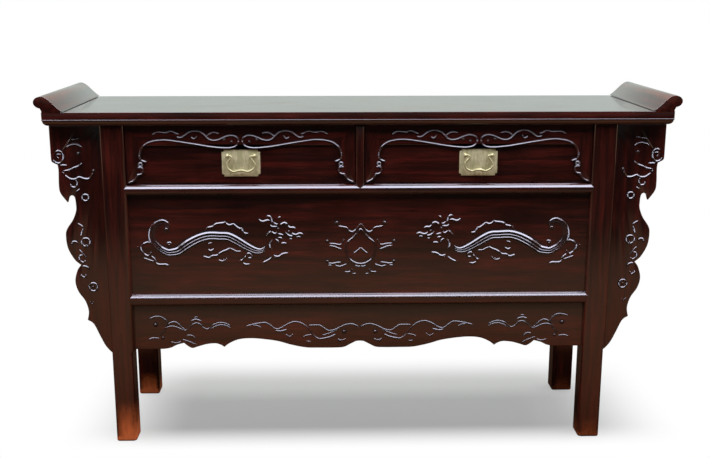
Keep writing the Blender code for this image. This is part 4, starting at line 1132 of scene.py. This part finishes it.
DRAWER_LINES = (
    (1.9, BRACKET_LINE),
    (1.7, [(148, -19), (156, -17), (163, -13), (171, -12), (180, -15), (191, -14), (203, -14), (215, -21)]),
    (1.7, [(120, -26), (112, -30), (105, -23)]),
    (1.6, [(84, -25), (73, -17), (62, -15), (52, -18)]),
    (1.9, [(244, -82), (238, -85), (231, -87)]),
    (1.7, [(253, -101), (244, -101), (240, -107), (242, -114), (248, -118), (256, -118)]),
    (1.8, [(254, -120), (261, -130), (269, -135.5), (278, -138.5)]),
)
DRAWER_RINGS = ((246, -94, 4.6),)
DRAWER_BALLS = ((40, -33, 2.8), (22, -38, 2.2))
DRAWER_SLIM = 0.72
DRAWER_RING_WIDE = 1.3
# Open line between the head strip and a side strip, and the rounds on the plain boards' edges
MITRE_GAP = 0.0004
FRONT_EASE = 0.0008
BOX_EASE = 0.001


class COFFER_OT_drawers(CofferMaker, bpy.types.Operator):
    """Drawer fronts with mitred, cusped frames and carved lines, and the plain boxes behind them"""

    bl_idname = "coffer.drawers"
    bl_label = "Drawers"

    def make(self, sizes):
        for word, _ in SIDES:
            body = f"drawer_{word}"
            low, high = np.array(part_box(f"{body}_front"))
            face, rear = (corner[1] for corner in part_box(f"{body}_frame_head"))
            middle, half = (low[0] + high[0]) / 2, (high[0] - low[0]) / 2
            foot, head = low[2], high[2]
            inner, level = half - STRIP_SIDE, head - STRIP_SIDE
            run = [(inner, level), *[(a * inner, head - b * STRIP_HEAD) for a, b in HEAD_EDGE]]
            right = np.vstack([[(half, head)], through(run, 6), [(0, head - HEAD_CUSP * STRIP_HEAD)]])
            flat = np.vstack([right, (right * (-1, 1))[-2::-1]]) + (middle, 0)
            shell = board(flat, face, rear, sizes.strip_round)
            name, stands_for = f"{body}_cusped_head", [f"{body}_frame_head"]
            piece(name, [shell], rosewood("X"), stands_for, body=body)
            strip = runs_through(*SIDE_EDGE) * (-STRIP_SIDE, level - MITRE_GAP - foot) + (half, foot)
            strip = np.vstack([strip, [(half, head - MITRE_GAP), (half, foot)]])
            for hand, side in SIDES:
                shell = board(strip * (side, 1) + (middle, 0), face, rear, sizes.strip_round)
                name, stands_for = f"{body}_cusped_{hand}", [f"{body}_frame_{hand}"]
                piece(name, [shell], rosewood("Z"), stands_for, body=body)
            carver = Carver(face, (middle, head), sizes.line_rise, DRAWER_SLIM, sunk=rear - face)
            carver.cut(DRAWER_LINES, DRAWER_BALLS, DRAWER_RINGS, DRAWER_RING_WIDE, BOTH_HANDS)
            carved(f"{body}_vine", carver, "X", body=body)
            dress([f"{body}_front"], rosewood("X"), FRONT_EASE)
            dress([f"{body}_side_left", f"{body}_side_right"], softwood("Y"), BOX_EASE)
            dress([f"{body}_bottom", f"{body}_back"], softwood("X"), BOX_EASE)


# Handles: shares of half the posts' distance and of the bail's drop, from the middle of the grip

BAIL_BOW = [(0.0, 0.91), (0.24, 0.94), (0.50, 1.0), (0.80, 0.91), (1.0, 0.73), (1.04, 0.52), (0.93, 0.34)]
BAIL_BOW += [(0.80, 0.22), (0.715, 0.10)]
BAIL_DROP = 0.0390
BAIL_WIRE = 0.0024
BAIL_STEP = 0.0009
# The bail's hooks: where they start inside the posts' middles, and how far their pins run past them
BAIL_HOOK = 0.009
BAIL_PIN = 0.0027
# How far the grip's swelling runs to each side
GRIP_RUN = 0.022
# Plates: how much narrower and higher than the solid at the low and the high corner, the notch, the rounds
PLATE_LOW, PLATE_HIGH = (0.0018, 0, 0.003), (-0.0018, 0, 0.002)
PLATE_NOTCH = 0.0055
PLATE_ROUND, PLATE_REAR_ROUND = 0.0007, 0.0002
# Posts: half their distance, the ball's radius and angles; from the plate, depth and radius of washer and
# shank; and the split pin's reach to each side, radius and distance from the post's end
POST_ASIDE = 0.033
POST_HEAD = 0.0045
POST_ANGLES = (-86, 48)
POST_WASHER = [(-0.0022, 0.0030), (-0.0014, 0.0042), (-0.0004, 0.0046), (0.0001, 0.0046), (0.0002, 0.0019)]
POST_TAIL = [(-0.0002, 0.0019), (0.0, 0.0014)]
TINE_REACH, TINE_BEND = 0.007, 0.003
TINE_WIRE = 0.0009
TINE_INSIDE = 0.0010
# Name, range of the streaks over which it dulls, roughness from bright to dull, and share of metal
BRASS_SHEET = ("Patinated brass sheet", (0.72, 1.18), (0.34, 0.54), 0.45)
BRASS_WIRE = ("Rubbed brass wire", (0.62, 0.98), (0.46, 0.60), 0.5)


class COFFER_OT_handles(CofferMaker, bpy.types.Operator):
    """Brass plates with notched corners, round-headed posts and the bails that swing in them"""

    bl_idname = "coffer.handles"
    bl_label = "Drop handles"

    def make(self, sizes):
        joints = frame["record"]["behaviour"]["joints"]
        pivots = {joint["child"]: joint["pos_m"] for joint in joints if "pos_m" in joint}
        for word, _ in SIDES:
            middle, depth, level = pivots[f"bail_{word}"]
            rides = {"body": f"drawer_{word}", "slot": METAL, "sharp": 40}
            low, high = np.array(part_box(f"handle_{word}_plate")) + (PLATE_LOW, PLATE_HIGH)
            half, tall = (high[0] - low[0]) / 2, (high[2] - low[2]) / 2
            aside, down = half - PLATE_NOTCH, PLATE_NOTCH - tall
            notch = np.array([(aside, -tall), (aside, down), (half, down)])
            side = np.vstack([notch, (notch * (1, -1))[::-1]])
            flat = np.vstack([side, (side * (-1, 1))[::-1]]) + (middle, (low[2] + high[2]) / 2)
            shell = board(flat, low[1], high[1], PLATE_ROUND, PLATE_REAR_ROUND)
            name, stands_for = f"notched_plate_{word}", [f"handle_{word}_plate"]
            piece(name, [shell], brass(*BRASS_SHEET), stands_for, **rides)
            for hand, turn in SIDES:
                name = f"handle_{word}_post_{hand}"
                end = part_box(name)[1][1]
                x = middle + turn * POST_ASIDE
                ball = np.radians(np.linspace(*POST_ANGLES, 12))
                profile = [*np.stack([depth + POST_HEAD * np.sin(ball), POST_HEAD * np.cos(ball)], axis=1)]
                profile += [(low[1] + deep, radius) for deep, radius in POST_WASHER]
                profile += [(end + deep, radius) for deep, radius in POST_TAIL]
                tines = [(x + a, level) for a in (-TINE_REACH, -TINE_BEND, TINE_BEND, TINE_REACH)]
                shells = [turned(profile, x, level)]
                shells += [bent_wire(np.array(tines), TINE_WIRE, end - TINE_INSIDE, around=10)]
                piece(f"round_post_{word}_{hand}", shells, brass(*BRASS_WIRE), [name], **rides)
            route = [(a * POST_ASIDE, -b * BAIL_DROP) for a, b in BAIL_BOW]
            hook = POST_ASIDE - BAIL_HOOK
            route += [(hook, -BAIL_WIRE / 2), (hook + 1.5 * BAIL_WIRE, 0.0), (POST_ASIDE + BAIL_PIN, 0.0)]
            path, run = evenly(mirrored(through(route)), BAIL_STEP)
            grip = np.exp(-(((run - run[-1] / 2) / GRIP_RUN) ** 2))
            radius = BAIL_WIRE + (sizes.grip_radius - BAIL_WIRE) * grip
            shell = bent_wire(path + (middle, level), radius, depth)
            rides["body"] = f"bail_{word}"
            name, stands_for = f"swing_bail_{word}", [f"handle_{word}_bail"]
            piece(name, [shell], brass(*BRASS_WIRE), stands_for, **rides)


INNER_EASE = 0.0016


class COFFER_OT_inner(CofferMaker, bpy.types.Operator):
    """Finishes on the plain pieces that stay as they are: side and back frames, floor, runners, battens"""

    bl_idname = "coffer.inner"
    bl_label = "Sides, back and inside"

    def make(self, sizes):
        for word, _ in SIDES:
            dress([f"side_upper_rail_{word}", f"side_lower_rail_{word}"], rosewood("Y"), INNER_EASE)
            dress([f"side_panel_{word}"], rosewood("Z"))
            dress([f"top_batten_{word}"], rosewood("Y"), INNER_EASE)
            dress([f"drawer_runner_{word}"], softwood("Y"), INNER_EASE)
        dress(["back_upper_rail", "back_mid_rail", "back_lower_rail"], rosewood("X"), INNER_EASE)
        dress(["back_upper_panel", "back_lower_panel", "compartment_floor"], softwood("X"))
        dress(["drawer_runner_centre", "drawer_guide_centre"], softwood("Y"), INNER_EASE)


# Stage: the camera was fitted to the photograph's 710 by 458 frame

VIEW_WIDTH = 710
FOCAL_PIXELS = 994.19
SENSOR = 36.0
CAMERA_SPOT = (-0.0728, -2.6028, 1.1341)
CAMERA_TURN = 0.0249
CAMERA_DIP = 0.2307
CAMERA_ROLL = 0.0005
# Lamps: place, width and depth in metres, and colour
SOFT_BOX = ((0.0, -1.05, 2.60), (6.2, 1.0), "#E5E8FF")
OVERHEAD = ((0.0, 0.05, 2.60), (3.2, 1.6), "#FFFFFF")
SIDE_ASIDE, SIDE_FRONT, SIDE_HEIGHT = 3.2, -0.6, 1.35
SIDE_SPREAD, SIDE_SHADE = (2.2, 1.6), "#FFD2B0"
WHITE = (*linear("#FFFFFF"), 1)
# The surround's strength, by how far a ray points back: dim in front, white behind
SURROUND_RANGE = (-0.35, 0.50, 0.13, 1.0)
FLOOR_REACH = 40.0
# The floor's colours as the gloss shows them run from and to these places in front of the coffer
FLOOR_RUN = (-3.0, -0.2, 0.0, 1.0)
# The floor shows white in the gloss from and to these places behind the coffer
FLOOR_WHITE = (0.70, 1.60, 0.0, 1.0)
# Painted shadow: a fixed patch under the coffer where the white that the camera sees is held back, so that
# the paint and the object's real shadow show; each edge from and to: front and back in Y, and aside from its
# middle in X
SHADOW_FRONT = (-0.25, -0.10, 0.0, 1.0)
SHADOW_BACK = (0.20, 0.42, 1.0, 0.0)
SHADOW_ASIDE = (0.50, 0.84, 1.0, 0.0)
SHADOW_MIDDLE = 0.04
# Share of white that stays over the painted shadow patch, lightening it
SHADOW_VEIL = 0.33


class COFFER_OT_stage(bpy.types.Operator):
    """Camera, four soft lamps, a pale floor and a white surround"""

    bl_idname = "coffer.stage"
    bl_label = "Stage"
    bl_options = {"REGISTER", "UNDO"}

    def execute(self, context):
        scene = context.scene
        lamps = scene.coffer_stage
        self.camera(scene)
        front = [self.lamp("soft_box", lamps.soft_box, *SOFT_BOX)]
        self.lamp("overhead", lamps.overhead, *OVERHEAD)
        for word, side in SIDES:
            spot = (SIDE_ASIDE * side, SIDE_FRONT, SIDE_HEIGHT)
            turn = side * math.pi / 2
            front.append(self.lamp(f"side_{word}", lamps.sides, spot, SIDE_SPREAD, SIDE_SHADE, turn))
        self.surround(scene)
        sheet = self.floor(scene)
        # These are flagged off the floor, so that the shadow lies straight under the coffer
        spared = bpy.data.collections.new("floor_without_soft_box")
        spared.objects.link(sheet)
        spared.collection_objects[0].light_linking.link_state = "EXCLUDE"
        for lamp in front:
            lamp.light_linking.receiver_collection = spared
        scene.view_settings.view_transform = "Standard"
        return {"FINISHED"}

    def camera(self, scene):
        """A camera at its fitted place: turned about Z, dipped, and rolled about its own line of sight."""
        data = bpy.data.cameras.new("studio_camera")
        data.sensor_fit = "HORIZONTAL"
        data.sensor_width = SENSOR
        data.lens = FOCAL_PIXELS * SENSOR / VIEW_WIDTH
        data.clip_end = 100
        turn, dip, roll = CAMERA_TURN, CAMERA_DIP, CAMERA_ROLL
        level = math.cos(dip)
        ahead = np.array([math.sin(turn) * level, math.cos(turn) * level, -math.sin(dip)])
        right = np.array([math.cos(turn), -math.sin(turn), 0.0])
        up = np.cross(right, ahead)
        across = right * math.cos(roll) + up * math.sin(roll)
        over = up * math.cos(roll) - right * math.sin(roll)
        columns = np.column_stack([across, over, -ahead, CAMERA_SPOT])
        made = bpy.data.objects.new("studio_camera", data)
        scene.collection.objects.link(made)
        made.matrix_world = Matrix([*columns.tolist(), (0, 0, 0, 1)])
        scene.camera = made

    def lamp(self, name, strength, spot, spread, shade, turn=0.0):
        """A flat lamp that faces straight down, turned about Y."""
        data = bpy.data.lights.new(name, "AREA")
        data.shape = "RECTANGLE"
        data.size, data.size_y = spread
        data.energy = strength
        data.color = linear(shade)
        made = bpy.data.objects.new(name, data)
        bpy.context.scene.collection.objects.link(made)
        made.location = spot
        made.rotation_euler = (0.0, turn, 0.0)
        made.visible_camera = False
        return made

    def surround(self, scene):
        """A studio that is white to the camera, and to other rays bright behind the object and dim in front
        of it, by the direction of the ray."""
        world = bpy.data.worlds.new("studio_surround")
        world.use_nodes = True
        tree = world.node_tree
        tree.nodes.clear()
        ray = add(tree, "TexCoord").outputs["Generated"]
        back = add(tree, "SeparateXYZ", {"Vector": ray}).outputs["Y"]
        behind = add(tree, "MapRange", {"Value": back}, from_to(*SURROUND_RANGE))
        path = add(tree, "LightPath").outputs
        looked_at = path["Is Camera Ray"]
        links = {0: path["Is Glossy Ray"], 1: path["Is Transmission Ray"]}
        gloss = add(tree, "Math", links, operation="MAXIMUM")
        gloss = add(tree, "Math", {0: gloss, 1: behind}, operation="MULTIPLY")
        seen = add(tree, "Math", {0: gloss, 1: looked_at}, operation="MAXIMUM")
        level = add(tree, "Math", {0: seen, 1: behind}, operation="MAXIMUM")
        shades = {"A": (*scene.coffer_colours.surround, 1), "B": WHITE}
        tint = add(tree, "Mix", {"Factor": looked_at}, shades, data_type="RGBA")
        light = add(tree, "Background", {"Color": tint.outputs[2], "Strength": level})
        add(tree, "OutputWorld", {"Surface": light})
        scene.world = world

    def floor(self, scene):
        """One flat sheet. Rays from the camera see pale paint, and white except over a painted shadow: a
        fixed patch round the coffer where the white is held back, so that the paint and the object's real
        shadow show there. Other rays see a floor that is dark under the coffer, then brown, warm and dark
        again further in front, which the gloss of the wood shows, and white far behind."""
        wide = FLOOR_REACH
        spots = [(-wide, -wide, 0), (wide, -wide, 0), (wide, wide, 0), (-wide, wide, 0)]
        mesh = bpy.data.meshes.new("studio_floor")
        mesh.from_pydata(spots, [], [(0, 1, 2, 3)])
        made, tree, place = new_tree("Painted studio floor")
        parts = add(tree, "SeparateXYZ", {"Vector": place}).outputs
        path = add(tree, "LightPath").outputs
        looked_at = path["Is Camera Ray"]
        shades = scene.coffer_colours
        run = add(tree, "MapRange", {"Value": parts["Y"]}, from_to(*FLOOR_RUN))
        stops = [(0.14, shades.floor_far), (1.0, shades.floor_under), (0.975, shades.floor_near)]
        stops += [(0.39, shades.floor_warm), (0.52, shades.floor_warm)]
        shade = add(tree, "ValToRGB", {"Fac": run}, stops=stops)
        links = {"Factor": looked_at, "A": shade}
        tint = add(tree, "Mix", links, {"B": (*shades.floor_pale, 1)}, data_type="RGBA")
        paint = add(tree, "BsdfDiffuse", {"Color": tint.outputs[2]})
        white = add(tree, "Emission", {}, {"Color": WHITE, "Strength": 1.0})
        aside = add(tree, "Math", {0: parts["X"]}, {1: SHADOW_MIDDLE}, operation="SUBTRACT")
        aside = add(tree, "Math", {0: aside}, operation="ABSOLUTE")
        edges = [(parts["Y"], SHADOW_FRONT), (parts["Y"], SHADOW_BACK), (aside, SHADOW_ASIDE)]
        edges += [(parts["Y"], FLOOR_WHITE)]
        smooth = {"interpolation_type": "SMOOTHSTEP"}
        steps = [add(tree, "MapRange", {"Value": value}, from_to(*ends), **smooth) for value, ends in edges]
        # The painted shadow patch: one inside it, falling to nothing at its edges
        shadow = add(tree, "Math", {0: steps[0], 1: steps[1]}, operation="MULTIPLY")
        shadow = add(tree, "Math", {0: shadow, 1: steps[2]}, operation="MULTIPLY")
        clear = add(tree, "MapRange", {"Value": shadow}, from_to(0.0, 1.0, 1.0, SHADOW_VEIL))
        links = {0: path["Is Glossy Ray"], 1: path["Is Transmission Ray"]}
        gloss = add(tree, "Math", links, operation="MAXIMUM")
        gloss = add(tree, "Math", {0: gloss, 1: steps[3]}, operation="MULTIPLY")
        seen = add(tree, "Math", {0: gloss, 1: looked_at}, operation="MAXIMUM")
        seen = add(tree, "Math", {0: seen, 1: clear}, operation="MULTIPLY")
        both = add(tree, "MixShader", {0: seen, 1: paint, 2: white})
        add(tree, "OutputMaterial", {"Surface": both})
        mesh.materials.append(made)
        sheet = bpy.data.objects.new("studio_floor", mesh)
        scene.collection.objects.link(sheet)
        return sheet


MAKERS = (
    COFFER_OT_stage,
    COFFER_OT_top,
    COFFER_OT_legs,
    COFFER_OT_rails,
    COFFER_OT_panel,
    COFFER_OT_apron,
    COFFER_OT_spandrels,
    COFFER_OT_drawers,
    COFFER_OT_handles,
    COFFER_OT_inner,
)


class COFFER_PT_sidebar(bpy.types.Panel):
    """Lists the coffer's makers with the sizes and colours that they use"""

    bl_idname = "COFFER_PT_sidebar"
    bl_label = "Altar coffer"
    bl_space_type = "VIEW_3D"
    bl_region_type = "UI"
    bl_category = "Coffer"

    def draw(self, context):
        column = self.layout.column(align=True)
        for maker in MAKERS:
            column.operator(maker.bl_idname)
        for group in (context.scene.coffer_sizes, context.scene.coffer_colours, context.scene.coffer_stage):
            box = self.layout.box().column(align=True)
            for key in group.bl_rna.properties.keys():
                if key not in {"rna_type", "name"}:
                    box.prop(group, key)


GROUPS = {"coffer_sizes": CofferSizes, "coffer_colours": CofferColours, "coffer_stage": CofferStage}


def register():
    for kind in (*GROUPS.values(), *MAKERS, COFFER_PT_sidebar):
        bpy.utils.register_class(kind)
    for key, kind in GROUPS.items():
        setattr(bpy.types.Scene, key, bpy.props.PointerProperty(type=kind))


def unregister():
    for key in GROUPS:
        delattr(bpy.types.Scene, key)
    for kind in (COFFER_PT_sidebar, *MAKERS[::-1], *GROUPS.values()):
        bpy.utils.unregister_class(kind)


def main():
    register()
    for maker in MAKERS:
        group, verb = maker.bl_idname.split(".")
        getattr(getattr(bpy.ops, group), verb)()


if __name__ == "__main__":
    main()
